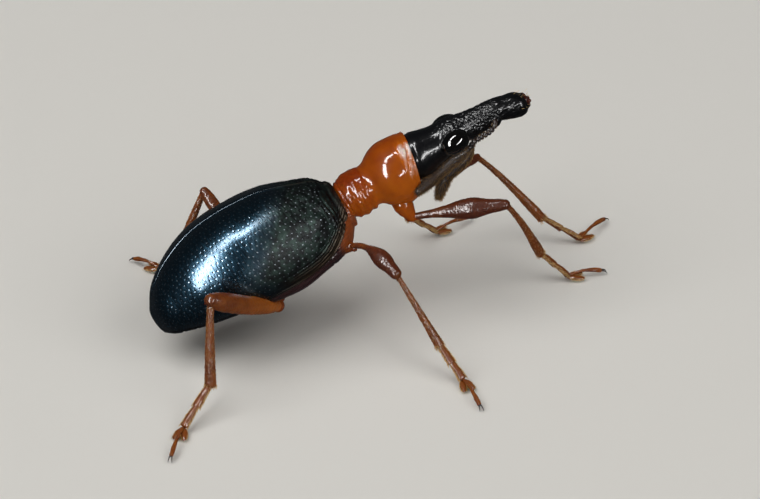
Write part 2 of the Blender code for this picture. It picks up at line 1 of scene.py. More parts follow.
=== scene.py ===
"""Looks of the sweet potato weevil: its cuticle, eyes, feelers, legs and hairs.

Places are in millimetres until a mesh is made. The body is drawn in its own frame,
x forward along its axis, y to the left and z to the back, with the origin in the
middle of the prothorax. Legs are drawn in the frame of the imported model.
"""
import math
from collections import namedtuple

import bpy
import numpy as np
from mathutils import Euler, Matrix, Vector


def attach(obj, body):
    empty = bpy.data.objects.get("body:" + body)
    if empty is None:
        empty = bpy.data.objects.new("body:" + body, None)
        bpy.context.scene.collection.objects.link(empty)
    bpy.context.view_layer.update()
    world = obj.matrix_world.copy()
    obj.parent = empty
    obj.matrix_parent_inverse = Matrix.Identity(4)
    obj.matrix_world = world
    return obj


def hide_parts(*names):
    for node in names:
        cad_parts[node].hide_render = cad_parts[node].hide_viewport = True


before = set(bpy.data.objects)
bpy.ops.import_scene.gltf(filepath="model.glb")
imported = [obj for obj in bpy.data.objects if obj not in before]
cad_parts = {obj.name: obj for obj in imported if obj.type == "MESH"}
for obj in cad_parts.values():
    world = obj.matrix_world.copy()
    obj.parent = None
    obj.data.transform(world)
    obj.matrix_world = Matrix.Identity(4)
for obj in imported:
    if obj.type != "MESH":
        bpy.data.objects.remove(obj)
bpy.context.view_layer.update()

MM = 0.001

# Stance of the body, in millimetres and degrees, as in the solids
BODY_HEIGHT = 2.43
BODY_PITCH = 22.0
BODY_ROLL = 14.0
STANCE_CENTRE = Vector((-0.561, -0.443, 0.0))
BODY = Matrix.Translation(Vector((0.0, 0.0, BODY_HEIGHT)) - STANCE_CENTRE) @ Euler(
    (-math.radians(BODY_ROLL), -math.radians(BODY_PITCH), 0.0)).to_matrix().to_4x4()

# Lengthwise places of the main divisions, body frame
PROTHORAX_FRONT = 0.345
PROTHORAX_BACK = -0.92
HINDBODY_FRONT = -0.97
HINDBODY_BACK = -4.48
SUTURES = (-1.58, -2.78, -3.30, -3.72, -3.98, -4.20)

# Outline knots (place along the body, size), body frame
HINDBODY_HALF_WIDTH = [(-4.48, 0.14), (-4.38, 0.34), (-4.05, 0.61), (-3.68, 0.79), (-3.27, 0.905),
                       (-2.84, 0.955), (-2.41, 0.965), (-1.98, 0.9), (-1.48, 0.73), (-1.14, 0.53),
                       (-0.97, 0.36)]
ELYTRA_CROWN = [(-4.48, 0.148), (-4.38, 0.309), (-4.05, 0.626), (-3.68, 0.833), (-3.27, 0.967),
                (-2.84, 1.009), (-2.41, 0.991), (-1.98, 0.927), (-1.48, 0.737), (-1.14, 0.564),
                (-0.97, 0.387)]
ELYTRA_MARGIN = [(-4.48, -0.20), (-4.38, -0.24), (-4.05, -0.30), (-3.39, -0.38), (-2.58, -0.42),
                 (-2.13, -0.45), (-1.70, -0.45), (-1.40, -0.38), (-1.10, -0.18), (-0.97, -0.05)]
BELLY_LEVEL = [(-4.48, -0.29), (-4.38, -0.335), (-4.05, -0.41), (-3.39, -0.52), (-2.58, -0.72),
               (-2.13, -0.79), (-1.70, -0.75), (-1.40, -0.74), (-1.10, -0.62), (-0.97, -0.45)]
# Power of the rounded oval that the wing cases follow over the back
BACK_ROUND = 2.2
PROTHORAX_RADIUS = [(-0.92, 0.305), (-0.84, 0.35), (-0.74, 0.38), (-0.64, 0.388), (-0.52, 0.376),
                    (-0.42, 0.354), (-0.34, 0.378), (-0.26, 0.430), (-0.16, 0.483), (-0.06, 0.514),
                    (0.04, 0.525), (0.12, 0.520), (0.20, 0.505), (0.30, 0.473), (0.345, 0.450)]
COLLAR_LEAN = 0.24
LEAN_START = 0.10
BODY_LEVEL = 0.015
CHEST_SWELL = 0.05

# Head and rostrum sections: place, level of the middle, half width, half height
HEAD_SECTIONS = [(0.12, 0.02, 0.33, 0.34), (0.30, 0.02, 0.365, 0.375), (0.45, 0.02, 0.385, 0.395),
                 (0.52, 0.02, 0.385, 0.40), (0.68, 0.025, 0.345, 0.352), (0.88, 0.02, 0.31, 0.305),
                 (1.06, 0.03, 0.305, 0.285), (1.22, 0.03, 0.285, 0.265), (1.34, 0.02, 0.24, 0.245),
                 (1.49, 0.0, 0.205, 0.232), (1.64, -0.01, 0.178, 0.220), (1.84, -0.015, 0.172, 0.205),
                 (2.00, -0.046, 0.175, 0.208), (2.14, -0.10, 0.185, 0.215), (2.28, -0.139, 0.19, 0.211),
                 (2.38, -0.152, 0.175, 0.160), (2.44, -0.155, 0.13, 0.118)]
HEAD_ROLL = 6.0
HEAD_LEVEL = 0.03
EYE_CENTRE = (1.11, 0.28, 0.03)
EYE_RADII = (0.255, 0.190, 0.190)
MANDIBLE_CENTRE = (2.45, 0.048, -0.172)
MANDIBLE_RADII = (0.058, 0.042, 0.040)

# Antennae folded back under the head: route knots of the right and left one
ANTENNA_ROUTES = {
    "right": {"funicle": [(1.86, -0.165, -0.09), (1.80, -0.22, -0.145), (1.68, -0.25, -0.18),
                          (1.52, -0.265, -0.18), (1.37, -0.28, -0.175), (1.25, -0.235, -0.25)],
              "club": [(1.25, -0.235, -0.25), (1.12, -0.17, -0.30), (0.925, -0.135, -0.33),
                       (0.652, -0.155, -0.362), (0.402, -0.30, -0.355), (0.20, -0.46, -0.325)]},
    "left": {"funicle": [(1.86, 0.165, -0.09), (1.80, 0.225, -0.15), (1.66, 0.25, -0.23),
                         (1.48, 0.235, -0.33), (1.31, 0.195, -0.45)],
             "club": [(1.31, 0.195, -0.45), (1.15, 0.185, -0.545), (0.893, 0.17, -0.605),
                      (0.658, 0.185, -0.70), (0.517, 0.20, -0.823), (0.44, 0.205, -0.905)]},
}
FUNICLE_BEADS = 9
BEAD_RADIUS = 0.051
BEAD_WAIST = 0.019
CLUB_RADIUS = 0.094
CLUB_SHAPE = [(0.0, 0.42), (0.06, 0.72), (0.25, 0.94), (0.60, 1.0), (0.85, 0.95), (1.0, 0.60)]

# Legs: coxa root and hip in the body frame for the right side, radii along femur and tibia by
# share of the length, and how far the tibia bends where it leaves the knee
LEG_PAIRS = {
    "front": {"root": (-0.13, -0.15, -0.42), "hip": (-0.11, -0.24, -0.75), "coxa": 0.150,
              "femur": [(0.0, 0.060), (0.10, 0.060), (0.228, 0.072), (0.316, 0.092), (0.40, 0.112),
                        (0.49, 0.146), (0.58, 0.168), (0.667, 0.174), (0.754, 0.146),
                        (0.842, 0.118), (0.93, 0.104), (1.0, 0.085)],
              "tibia": [(0.0, 0.052), (0.10, 0.046), (0.30, 0.053), (0.65, 0.070), (0.90, 0.086),
                        (1.0, 0.082)],
              "bend": 0.045, "stain": (0.75, 0.80, 0.95, 0.95, 0.80)},
    "middle": {"root": (-1.36, -0.20, -0.50), "hip": (-1.19, -0.454, -0.534), "coxa": 0.145,
               "femur": [(0.0, 0.048), (0.20, 0.048), (0.40, 0.056), (0.55, 0.105), (0.68, 0.142),
                         (0.78, 0.136), (0.87, 0.111), (1.0, 0.095)],
               "tibia": [(0.0, 0.046), (0.10, 0.040), (0.30, 0.046), (0.65, 0.060), (0.90, 0.076),
                         (1.0, 0.082)],
               "bend": 0.015, "stain": (0.55, 0.70, 0.92, 0.95, 0.75)},
    "hind": {"root": (-2.54, -0.30, -0.54), "hip": (-2.70, -0.50, -0.71), "coxa": 0.140,
             "femur": [(0.0, 0.100), (0.15, 0.130), (0.35, 0.150), (0.55, 0.160), (0.70, 0.166),
                       (0.85, 0.163), (0.93, 0.148), (1.0, 0.118)],
             "tibia": [(0.0, 0.056), (0.10, 0.056), (0.30, 0.066), (0.65, 0.084), (0.90, 0.095),
                       (1.0, 0.098)],
             "bend": 0.020, "stain": (0.05, 0.25, 0.48, 0.62, 0.60)},
}
# Where each leg stands: knee, ankle, pad under the third tarsal segment, and claws,
# from the point on the floor below the prothorax, and how far the femur is arched
STANCE = {
    "leg_front_right": {"knee": (1.553, -1.007, 1.997), "ankle": (2.21, -0.634, 0.589),
                        "pad": (2.78, -0.78), "claws": (3.16, -0.82), "bow": (0.0, 0.0, 0.02)},
    "leg_front_left": {"knee": (1.679, 0.733, 1.745), "ankle": (2.61, 0.41, 0.48),
                       "pad": (3.28, 0.20), "claws": (3.69, 0.48), "bow": (0.0, 0.0, 0.12)},
    "leg_middle_right": {"knee": (-0.592, -1.753, 1.756), "ankle": (-0.116, -2.291, 0.571),
                         "pad": (0.12, -2.89), "claws": (0.13, -3.44), "bow": (0.0, 0.0, 0.18)},
    "leg_middle_left": {"knee": (0.23, 0.91, 1.73), "ankle": (0.63, 1.27, 0.50),
                        "pad": (1.22, 1.30), "claws": (1.66, 1.42), "bow": (0.0, 0.0, 0.14)},
    "leg_hind_right": {"knee": (-3.565, -1.324, 1.82), "ankle": (-3.80, -1.723, 0.498),
                       "pad": (-4.52, -2.27), "claws": (-4.83, -2.74), "bow": (0.0, -0.10, 0.025)},
    "leg_hind_left": {"knee": (-2.68, 1.65, 1.74), "ankle": (-3.32, 1.57, 0.444),
                      "pad": (-3.50, 2.26), "claws": (-3.69, 2.54), "bow": (0.0, 0.10, 0.025)},
}
# Femora that are seen thinner than those of the other side, as a share of their radius
SLENDER_FEMORA = {"leg_front_left": 0.78, "leg_hind_left": 0.66}
ARCH_PEAK = 0.45
# Tarsal segments: first and last share of the way to the lobes, radius at their base and end
TARSAL_SEGMENTS = ((-0.07, 0.49, 0.042, 0.066), (0.42, 0.93, 0.038, 0.063))
LOBE_BASE = 0.15
LOBE_LENGTH = 0.27
LOBE_HALF_WIDTH = 0.056
LOBE_THICKNESS = 0.036
LOBE_SPLAY = 0.24
LOBE_LEVEL = 0.080
PAD_HEIGHT = 0.034
CLAW_LEVEL = 0.090
CLAW_SEGMENT_RADII = [(0.0, 0.022), (0.5, 0.026), (0.85, 0.038), (1.0, 0.034)]
CLAW_LENGTH = 0.100
CLAW_RADIUS = 0.0115
CLAW_SPLAY = 0.20

# Fineness of the meshes: points along a piece, then points across or round it
ELYTRON_GRID = (396, 232)
UNDERSIDE_GRID = (220, 120)
PROTHORAX_GRID = (190, 200)
HEAD_GRID = (250, 190)

# Camera and photograph: size of the frame, millimetres to a pixel, and the pixel of the prothorax
FRAME_PIXELS = (760, 499)
PIXEL_MM = 0.01606
PROTHORAX_PIXEL = (392, 172)
CAMERA_YAW = 17.0
CAMERA_ELEVATION = 36.0
CAMERA_TILT = 4.0
CAMERA_DISTANCE = 180.0
SENSOR_MM = 36.0
CLIP_METRES = (0.01, 5.0)

FULL_TURN = 2.0 * math.pi
QUARTER_TURN = 0.5 * math.pi
ROUND = (0.0, FULL_TURN)
UP = (0.0, 0.0, 1.0)
# Shares of a quarter turn at which rounded ends stop, just short of the pole
NEARLY = 0.97
NEARLY_SHUT = 0.98
# Lengths of the waves of even noise, as shares of its size
WAVE_LENGTHS = (0.75, 1.35)
# Relief fades out where a limb is thinner than its thickest part divided by this
SMOOTH_ENDS = 3.0

# The last field of a shape is a colour weight at each point: real stains and tones, and also painted
# light, that is glints on the wing cases' pits, shade on the prothorax's top and highlight on its collar
Shape = namedtuple("Shape", "points faces grain stain")
Track = namedtuple("Track", "points heads sides tops radii along flatness")
# Even noise: height, size of its waves, seed, and how the three axes are squeezed
Grain = namedtuple("Grain", "height size seed squeeze", defaults=((1.0, 1.0, 1.0),))
# Bell-shaped rise, or a dip where the height is below zero: height, place and width
Ridge = namedtuple("Ridge", "height place width")
# Grooves side by side: height, spacing, and the noise that bends them
Lines = namedtuple("Lines", "height spacing bend")
# Pits in rows: spacing along, number of rows round, radius and depth
Pits = namedtuple("Pits", "spacing rows radius depth")
# Hairs: number, first and last share of the way, length, thickness, lift, curl, range of tones
# from dark to pale, and seed
Hairs = namedtuple("Hairs", "count span length thickness lift curl tone seed")
# Section of a leg: rings, points round it, flatness, and rounding of its ends
Limb = namedtuple("Limb", "rings sides flatness ends")


def smooth(places, knots):
    """Value at each place of a smooth curve through (place, value) knots.

    Cubic Hermite pieces whose slope at a knot is that of the line through its neighbours.
    """
    xs, ys = np.array(sorted(knots)).T
    slopes = np.gradient(ys, xs)
    at = np.clip(places, xs[0], xs[-1])
    i = np.clip(np.searchsorted(xs, at) - 1, 0, len(xs) - 2)
    width = xs[i + 1] - xs[i]
    t = (at - xs[i]) / width
    start = ys[i] * (1 + 2 * t) * (1 - t) ** 2 + slopes[i] * width * t * (1 - t) ** 2
    end = ys[i + 1] * t ** 2 * (3 - 2 * t) + slopes[i + 1] * width * t ** 2 * (t - 1)
    return start + end


def smooth_route(knots, count):
    """Evenly spread points on a smooth curve through three-dimensional knots."""
    knots = np.array(knots, float)
    steps = np.linalg.norm(np.diff(knots, axis=0), axis=1)
    along = np.concatenate([[0.0], np.cumsum(steps)])
    places = np.linspace(0.0, along[-1], count)
    axes = [smooth(places, list(zip(along, knots[:, axis]))) for axis in range(3)]
    return np.stack(axes, axis=1)


def unit(vectors):
    """Vectors of the same direction and length one."""
    return vectors / np.maximum(np.linalg.norm(vectors, axis=-1, keepdims=True), 1e-12)


def ease(value, low, high):
    """Zero below low, one above high, and a smooth S between: t squared times (3 - 2t)."""
    t = np.clip((value - low) / (high - low), 0.0, 1.0)
    return t * t * (3.0 - 2.0 * t)


def bell(distance, radius):
    """One at distance zero, falling off as exp(-(distance / radius) squared)."""
    return np.exp(-(distance / radius) ** 2)


def waves(points, size, seed, count=28):
    """Even noise of about one grain size: the sum of plane cosine waves in random directions."""
    draw = np.random.default_rng(seed)
    directions = unit(draw.normal(size=(count, 3)))
    lengths = size * draw.uniform(*WAVE_LENGTHS, count)
    phases = draw.uniform(0.0, FULL_TURN, count)
    total = np.zeros(points.shape[:-1])
    for direction, length, phase in zip(directions, lengths, phases):
        total += np.cos(points @ direction * (FULL_TURN / length) + phase)
    return total / math.sqrt(count)


def relief(points, grains, seed=0):
    """Sum of even noises, each its height times waves of its size on the squeezed points."""
    return sum(grain.height * waves(points * grain.squeeze, grain.size, seed + grain.seed)
               for grain in grains)


def ridges(distance, rows):
    """Sum of bell-shaped rises and dips, each at its place along the distance."""
    return sum(row.height * bell(distance - row.place, row.width) for row in rows)


def grooves(distance, points, lines):
    """Grooves at an even spacing: a cosine of the distance, which noise makes wavy."""
    bend = relief(points, lines.bend)
    return lines.height * np.cos(distance * FULL_TURN / lines.spacing + bend)


def scattered(row, column, salt):
    """A fixed number from -0.5 to 0.5 for each cell of a lattice: the fraction of a steep sine."""
    value = np.sin(row * 12.9898 + column * 78.233 + salt * 37.719) * 43758.5453
    return value - np.floor(value) - 0.5


def pits(along, across, radius, pitch=(1.0, 1.0)):
    """Depth from 0 to 1 of pits on a staggered lattice of unit cells.

    Each cell holds one pit, a bell curve round a point a little off the cell's middle. The
    radius is measured in the unit of the pitch, which is a cell's size along and across.
    """
    row = np.floor(across)
    shifted = along + 0.5 * np.mod(row, 2.0) + 0.4 * scattered(row, 0.0, 3.0)
    column = np.floor(shifted)
    du = shifted - column - 0.5 - 0.34 * scattered(row, column, 1.0)
    dv = across - row - 0.5 - 0.34 * scattered(row, column, 2.0)
    return bell(np.hypot(du * pitch[0], dv * pitch[1]), radius)


def body_to_model(points):
    """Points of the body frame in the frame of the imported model, both in millimetres."""
    matrix = np.array(BODY)
    return points @ matrix[:3, :3].T + matrix[:3, 3]


def head_to_model(points):
    """Points of the head, drawn upright, rolled about the head's axis and put in the model."""
    middle = np.array([0.0, 0.0, HEAD_LEVEL])
    turn = np.array(Matrix.Rotation(math.radians(HEAD_ROLL), 3, "X"))
    return body_to_model((points - middle) @ turn.T + middle)


def closed_faces(stations, sides):
    """Faces of a closed grid: quads between neighbouring rings, and a fan to a pole at each end.

    The pole of the first ring and that of the last come after all the ring points.
    """
    j = np.arange(sides)
    k = (j + 1) % sides
    i = np.arange(stations - 1)[:, None] * sides
    quads = np.stack([i + j, i + k, i + sides + k, i + sides + j], axis=-1).reshape(-1, 4)
    last = (stations - 1) * sides
    first_pole = np.full(sides, stations * sides)
    first_fan = np.stack([first_pole, k, j], axis=-1)
    last_fan = np.stack([first_pole + 1, last + j, last + k], axis=-1)
    return [quads, first_fan, last_fan]


def turned_out(points, faces):
    """The faces, all turned round if the room they close comes out negative."""
    room = 0.0
    for group in faces:
        a, b, c = points[group[:, 0]], points[group[:, 1]], points[group[:, 2]]
        room += np.einsum("ij,ij->", a, np.cross(b, c))
        if group.shape[1] == 4:
            room += np.einsum("ij,ij->", a, np.cross(c, points[group[:, 3]]))
    return faces if room > 0 else [group[:, ::-1] for group in faces]


def closed_shape(rings, grain, stain=0.0):
    """Closed surface through rings of points, with a pole at the middle of each end ring."""
    stations, sides, _ = rings.shape
    poles = np.stack([rings[0].mean(axis=0), rings[-1].mean(axis=0)])
    points = np.concatenate([rings.reshape(-1, 3), poles])
    grain_poles = np.stack([grain[0].mean(axis=0), grain[-1].mean(axis=0)])
    grain = np.concatenate([grain.reshape(-1, 3), grain_poles])
    stain = np.broadcast_to(stain, (stations, sides))
    stain = np.concatenate([stain.ravel(), [stain[0, 0], stain[-1, 0]]])
    return Shape(points, turned_out(points, closed_faces(stations, sides)), grain, stain)


def joined(shapes):
    """Several shapes as one, with the faces renumbered."""
    starts = np.cumsum([0] + [len(shape.points) for shape in shapes])
    faces = [group + start for shape, start in zip(shapes, starts) for group in shape.faces]
    return Shape(np.concatenate([shape.points for shape in shapes]), faces,
                 np.concatenate([shape.grain for shape in shapes]),
                 np.concatenate([shape.stain for shape in shapes]))


def grid_normals(points):
    """Outward or inward normal at each point of an open grid: cross product of its two slopes."""
    return unit(np.cross(np.gradient(points, axis=1), np.gradient(points, axis=0)))


def place_piece(name, shape, material, nodes=()):
    """Put a shape in as a mesh object that rides on the root and stands for its solids."""
    mesh = bpy.data.meshes.new(name)
    faces = [face for group in shape.faces for face in group.tolist()]
    mesh.from_pydata((shape.points * MM).tolist(), [], faces)
    grain = mesh.attributes.new("grain", "FLOAT_VECTOR", "POINT")
    grain.data.foreach_set("vector", shape.grain.astype(np.float32).ravel())
    # Colour weight of each point, for the finishes: real stains and tones, and in places painted glints,
    # painted shade and painted highlight
    stain = mesh.attributes.new("stain", "FLOAT", "POINT")
    stain.data.foreach_set("value", shape.stain.astype(np.float32))
    mesh.materials.append(material)
    mesh.shade_smooth()
    item = bpy.data.objects.new(name, mesh)
    bpy.context.scene.collection.objects.link(item)
    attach(item, "root")
    if nodes:
        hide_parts(*nodes)
    return item


# Finishes

def linear(code):
    """An sRGB hex code as linear red, green, blue and a full alpha."""
    channels = [int(code[i:i + 2], 16) / 255.0 for i in (0, 2, 4)]
    rgb = [c / 12.92 if c <= 0.04045 else ((c + 0.055) / 1.055) ** 2.4 for c in channels]
    return (*rgb, 1.0)


MIX_A, MIX_B, MIX_RESULT = 6, 7, 2


def add(tree, kind, inputs=None, **settings):
    """Add a node with its settings, and give each input a value or a link."""
    item = tree.nodes.new(kind)
    for name, value in settings.items():
        setattr(item, name, value)
    for key, value in (inputs or {}).items():
        if isinstance(value, bpy.types.NodeSocket):
            tree.links.new(value, item.inputs[key])
        else:
            item.inputs[key].default_value = value
    return item


def new_finish(name, **sockets):
    """A Principled material whose sockets take one value each for the whole surface."""
    material = bpy.data.materials.new(name)
    material.use_nodes = True
    tree = material.node_tree
    shader = tree.nodes["Principled BSDF"]
    for key, value in sockets.items():
        shader.inputs[key.replace("_", " ")].default_value = value
    return material, tree, shader


def elytra_cuticle():
    """Hard black cuticle with thin reflecting layers under a clear one: a white gleam with a
    steel-blue halo, broken up by a net of cells 0.014 mm wide and by short fine scratches that
    run across the body, 0.03 mm wide and three times as long. Towards the shoulder and the
    flank it is duller, with green-black blotches about 0.1 mm wide. Each puncture bears a
    faint pale dot, a painted glint of light caught on the pit's wall."""
    material, tree, shader = new_finish("elytra_cuticle", Metallic=0.95, IOR=1.5,
                                        Coat_IOR=1.5)
    grain = add(tree, "ShaderNodeAttribute", attribute_name="grain").outputs["Vector"]
    stain = add(tree, "ShaderNodeAttribute", attribute_name="stain").outputs["Fac"]
    folded = add(tree, "ShaderNodeVectorMath", {0: grain}, operation="ABSOLUTE")
    place = add(tree, "ShaderNodeVectorMath", {0: folded.outputs["Vector"], 1: (-1.0, 0.427, -0.904)},
                operation="DOT_PRODUCT")
    dull = add(tree, "ShaderNodeMapRange", {"Value": place.outputs["Value"], "From Min": -2.85,
                                            "From Max": -2.20})
    blotches = add(tree, "ShaderNodeTexNoise", {"Vector": grain, "Scale": 8.0, "Detail": 4.0})
    mottle = add(tree, "ShaderNodeMapRange", {"Value": blotches.outputs["Fac"], "From Min": 0.42,
                                              "From Max": 0.62})
    green = add(tree, "ShaderNodeMix", {0: mottle.outputs["Result"], MIX_A: linear("080D0E"),
                                        MIX_B: linear("24332E")}, data_type="RGBA")
    tint = add(tree, "ShaderNodeMix", {0: dull.outputs["Result"], MIX_A: linear("1A3C4E"),
                                       MIX_B: green.outputs[MIX_RESULT]}, data_type="RGBA")
    browned = add(tree, "ShaderNodeMath", {0: stain, 1: 1.0}, operation="MULTIPLY", use_clamp=True)
    margin = add(tree, "ShaderNodeMix", {0: browned.outputs["Value"], MIX_A: tint.outputs[MIX_RESULT],
                                         MIX_B: linear("3A2C1E")}, data_type="RGBA")
    # Painted glint: pale dots put on the pits where the colour weight is below zero, standing for light
    # caught on their walls
    painted_glints = add(tree, "ShaderNodeMath", {0: stain, 1: -1.0}, operation="MULTIPLY", use_clamp=True)
    colour = add(tree, "ShaderNodeMix", {0: painted_glints.outputs["Value"], MIX_A: margin.outputs[MIX_RESULT],
                                         MIX_B: linear("A4ACB4")}, data_type="RGBA")
    tree.links.new(colour.outputs[MIX_RESULT], shader.inputs["Base Color"])
    cells = add(tree, "ShaderNodeTexVoronoi", {"Vector": grain, "Scale": 1.0 / 0.014},
                feature="SMOOTH_F1")
    across = add(tree, "ShaderNodeMapping", {"Vector": grain, "Rotation": (0.0, 0.0, 0.25),
                                             "Scale": (30.0, 9.0, 9.0)})
    scratches = add(tree, "ShaderNodeTexNoise", {"Vector": across.outputs["Vector"], "Scale": 1.0,
                                                 "Detail": 3.0})
    rough = add(tree, "ShaderNodeMapRange", {"Value": scratches.outputs["Fac"], "From Min": 0.3,
                                             "From Max": 0.7, "To Min": 0.18, "To Max": 0.30})
    duller = add(tree, "ShaderNodeMath", {0: dull.outputs["Result"], 1: 0.25,
                                          2: rough.outputs["Result"]}, operation="MULTIPLY_ADD")
    tree.links.new(duller.outputs["Value"], shader.inputs["Roughness"])
    veiled = add(tree, "ShaderNodeMath", {0: dull.outputs["Result"], 1: 0.28, 2: 0.17},
                 operation="MULTIPLY_ADD")
    tree.links.new(veiled.outputs["Value"], shader.inputs["Coat Roughness"])
    worn = add(tree, "ShaderNodeMath", {0: dull.outputs["Result"], 1: -0.70, 2: 1.0},
               operation="MULTIPLY_ADD")
    tree.links.new(worn.outputs["Value"], shader.inputs["Coat Weight"])
    scratched = add(tree, "ShaderNodeBump", {"Height": scratches.outputs["Fac"], "Strength": 1.0,
                                             "Distance": 0.0016 * MM})
    netted = add(tree, "ShaderNodeBump", {"Height": cells.outputs["Distance"], "Strength": 1.0,
                                          "Distance": 0.0005 * MM,
                                          "Normal": scratched.outputs["Normal"]})
    tree.links.new(netted.outputs["Normal"], shader.inputs["Normal"])
    tree.links.new(netted.outputs["Normal"], shader.inputs["Coat Normal"])
    return material


def clear_cuticle(name, light, dark, pale, wrinkle, roughness, gloss, haze=0.05):
    """Smooth red-brown cuticle under a clear, wet-looking outer layer. Light soaks a little way in,
    as in amber. The colour deepens in clouds and where the piece's colour weight is above zero,
    which on the prothorax's top is painted shade. Where the weight is below zero it pales to the
    colour of thin stretched skin, which on the crests of the collar's crumples is partly painted
    highlight."""
    material, tree, shader = new_finish(name, IOR=1.56, Coat_Weight=gloss, Coat_Roughness=haze,
                                        Coat_IOR=1.5, Subsurface_Weight=0.22,
                                        Specular_IOR_Level=0.5 - 0.45 * gloss,
                                        Subsurface_Scale=0.10 * MM,
                                        Subsurface_Radius=(1.0, 0.35, 0.12), Roughness=roughness)
    grain = add(tree, "ShaderNodeAttribute", attribute_name="grain").outputs["Vector"]
    stain = add(tree, "ShaderNodeAttribute", attribute_name="stain").outputs["Fac"]
    clouds = add(tree, "ShaderNodeTexNoise", {"Vector": grain, "Scale": 4.5, "Detail": 5.0})
    depth = add(tree, "ShaderNodeMapRange", {"Value": clouds.outputs["Fac"], "From Min": 0.35,
                                             "From Max": 0.70, "To Min": 0.0, "To Max": 0.30})
    total = add(tree, "ShaderNodeMath", {0: depth.outputs["Result"], 1: stain}, operation="ADD",
                use_clamp=True)
    colour = add(tree, "ShaderNodeMix", {0: total.outputs["Value"], MIX_A: linear(light),
                                         MIX_B: linear(dark)}, data_type="RGBA")
    # Paling where the weight is below zero: thin stretched skin, and on the collar's crumple crests
    # partly painted highlight
    pale_skin_and_highlight = add(tree, "ShaderNodeMath", {0: stain, 1: -1.0}, operation="MULTIPLY", use_clamp=True)
    paled = add(tree, "ShaderNodeMix", {0: pale_skin_and_highlight.outputs["Value"], MIX_A: colour.outputs[MIX_RESULT],
                                        MIX_B: linear(pale)}, data_type="RGBA")
    tree.links.new(paled.outputs[MIX_RESULT], shader.inputs["Base Color"])
    across = add(tree, "ShaderNodeMapping", {"Vector": grain, "Scale": (30.0, 9.0, 9.0)})
    folds = add(tree, "ShaderNodeTexNoise", {"Vector": across.outputs["Vector"], "Scale": 1.0,
                                             "Detail": 4.0})
    bump = add(tree, "ShaderNodeBump", {"Height": folds.outputs["Fac"], "Strength": 1.0,
                                        "Distance": wrinkle * MM})
    tree.links.new(bump.outputs["Normal"], shader.inputs["Normal"])
    tree.links.new(bump.outputs["Normal"], shader.inputs["Coat Normal"])
    return material


def head_cuticle():
    """Thick black cuticle, polished like jet, with a fine leathery grain. Where the stain is
    below zero it is grainy and only half as shiny, and where it is above zero, red-brown."""
    material, tree, shader = new_finish("head_cuticle", IOR=1.58, Coat_Weight=1.0,
                                        Roughness=0.35, Specular_IOR_Level=0.1)
    grain = add(tree, "ShaderNodeAttribute", attribute_name="grain").outputs["Vector"]
    stain = add(tree, "ShaderNodeAttribute", attribute_name="stain").outputs["Fac"]
    colour = add(tree, "ShaderNodeMix", {0: stain, MIX_A: linear("0A0A0D"), MIX_B: linear("5A2412")},
                 data_type="RGBA")
    tree.links.new(colour.outputs[MIX_RESULT], shader.inputs["Base Color"])
    haze = add(tree, "ShaderNodeMapRange", {"Value": stain, "From Min": -0.9, "From Max": 0.0,
                                            "To Min": 0.22, "To Max": 0.09})
    tree.links.new(haze.outputs["Result"], shader.inputs["Coat Roughness"])
    leather = add(tree, "ShaderNodeTexNoise", {"Vector": grain, "Scale": 1.0 / 0.02, "Detail": 4.0})
    bump = add(tree, "ShaderNodeBump", {"Height": leather.outputs["Fac"], "Strength": 1.0,
                                        "Distance": 0.0016 * MM})
    tree.links.new(bump.outputs["Normal"], shader.inputs["Normal"])
    tree.links.new(bump.outputs["Normal"], shader.inputs["Coat Normal"])
    return material


def eye_lens():
    """Clear polished lenses over a black eye: mirror-like, with facets 0.02 mm wide hardly raised."""
    material, tree, shader = new_finish("eye_lens", Base_Color=linear("070605"), IOR=1.56,
                                        Roughness=0.07, Coat_Weight=1.0, Coat_Roughness=0.03)
    grain = add(tree, "ShaderNodeAttribute", attribute_name="grain").outputs["Vector"]
    facets = add(tree, "ShaderNodeTexVoronoi", {"Vector": grain, "Scale": 1.0 / 0.02})
    bump = add(tree, "ShaderNodeBump", {"Height": facets.outputs["Distance"], "Strength": 1.0,
                                        "Distance": 0.0006 * MM}, invert=True)
    tree.links.new(bump.outputs["Normal"], shader.inputs["Normal"])
    return material


def underside_cuticle():
    """Satin cuticle of the underside: orange-brown in front, purplish brown along the thorax and
    black on the abdomen, as the stain says, with close coarse punctures."""
    material, tree, shader = new_finish("underside_cuticle", IOR=1.56, Roughness=0.34,
                                        Coat_Weight=0.25, Coat_Roughness=0.2)
    grain = add(tree, "ShaderNodeAttribute", attribute_name="grain").outputs["Vector"]
    stain = add(tree, "ShaderNodeAttribute", attribute_name="stain").outputs["Fac"]
    first = add(tree, "ShaderNodeMapRange", {"Value": stain, "From Min": 0.0, "From Max": 0.5})
    second = add(tree, "ShaderNodeMapRange", {"Value": stain, "From Min": 0.5, "From Max": 1.0})
    side = add(tree, "ShaderNodeMix", {0: first.outputs["Result"], MIX_A: linear("9A4A16"),
                                       MIX_B: linear("38181A")}, data_type="RGBA")
    colour = add(tree, "ShaderNodeMix", {0: second.outputs["Result"], MIX_A: side.outputs[MIX_RESULT],
                                         MIX_B: linear("0D0E12")}, data_type="RGBA")
    tree.links.new(colour.outputs[MIX_RESULT], shader.inputs["Base Color"])
    punctures = add(tree, "ShaderNodeTexVoronoi", {"Vector": grain, "Scale": 1.0 / 0.045},
                    feature="SMOOTH_F1")
    bump = add(tree, "ShaderNodeBump", {"Height": punctures.outputs["Distance"], "Strength": 1.0,
                                        "Distance": 0.006 * MM})
    tree.links.new(bump.outputs["Normal"], shader.inputs["Normal"])
    return material


def bristle(name, root, tip):
    """Fine hollow hairs: a soft sheen, darker at the root and clear at the tip, and each one of
    its own tone."""
    material, tree, shader = new_finish(name, IOR=1.55, Roughness=0.50, Specular_IOR_Level=0.25)
    stain = add(tree, "ShaderNodeAttribute", attribute_name="stain").outputs["Fac"]
    colour = add(tree, "ShaderNodeMix", {0: stain, MIX_A: linear(root), MIX_B: linear(tip)},
                 data_type="RGBA")
    tree.links.new(colour.outputs[MIX_RESULT], shader.inputs["Base Color"])
    return material


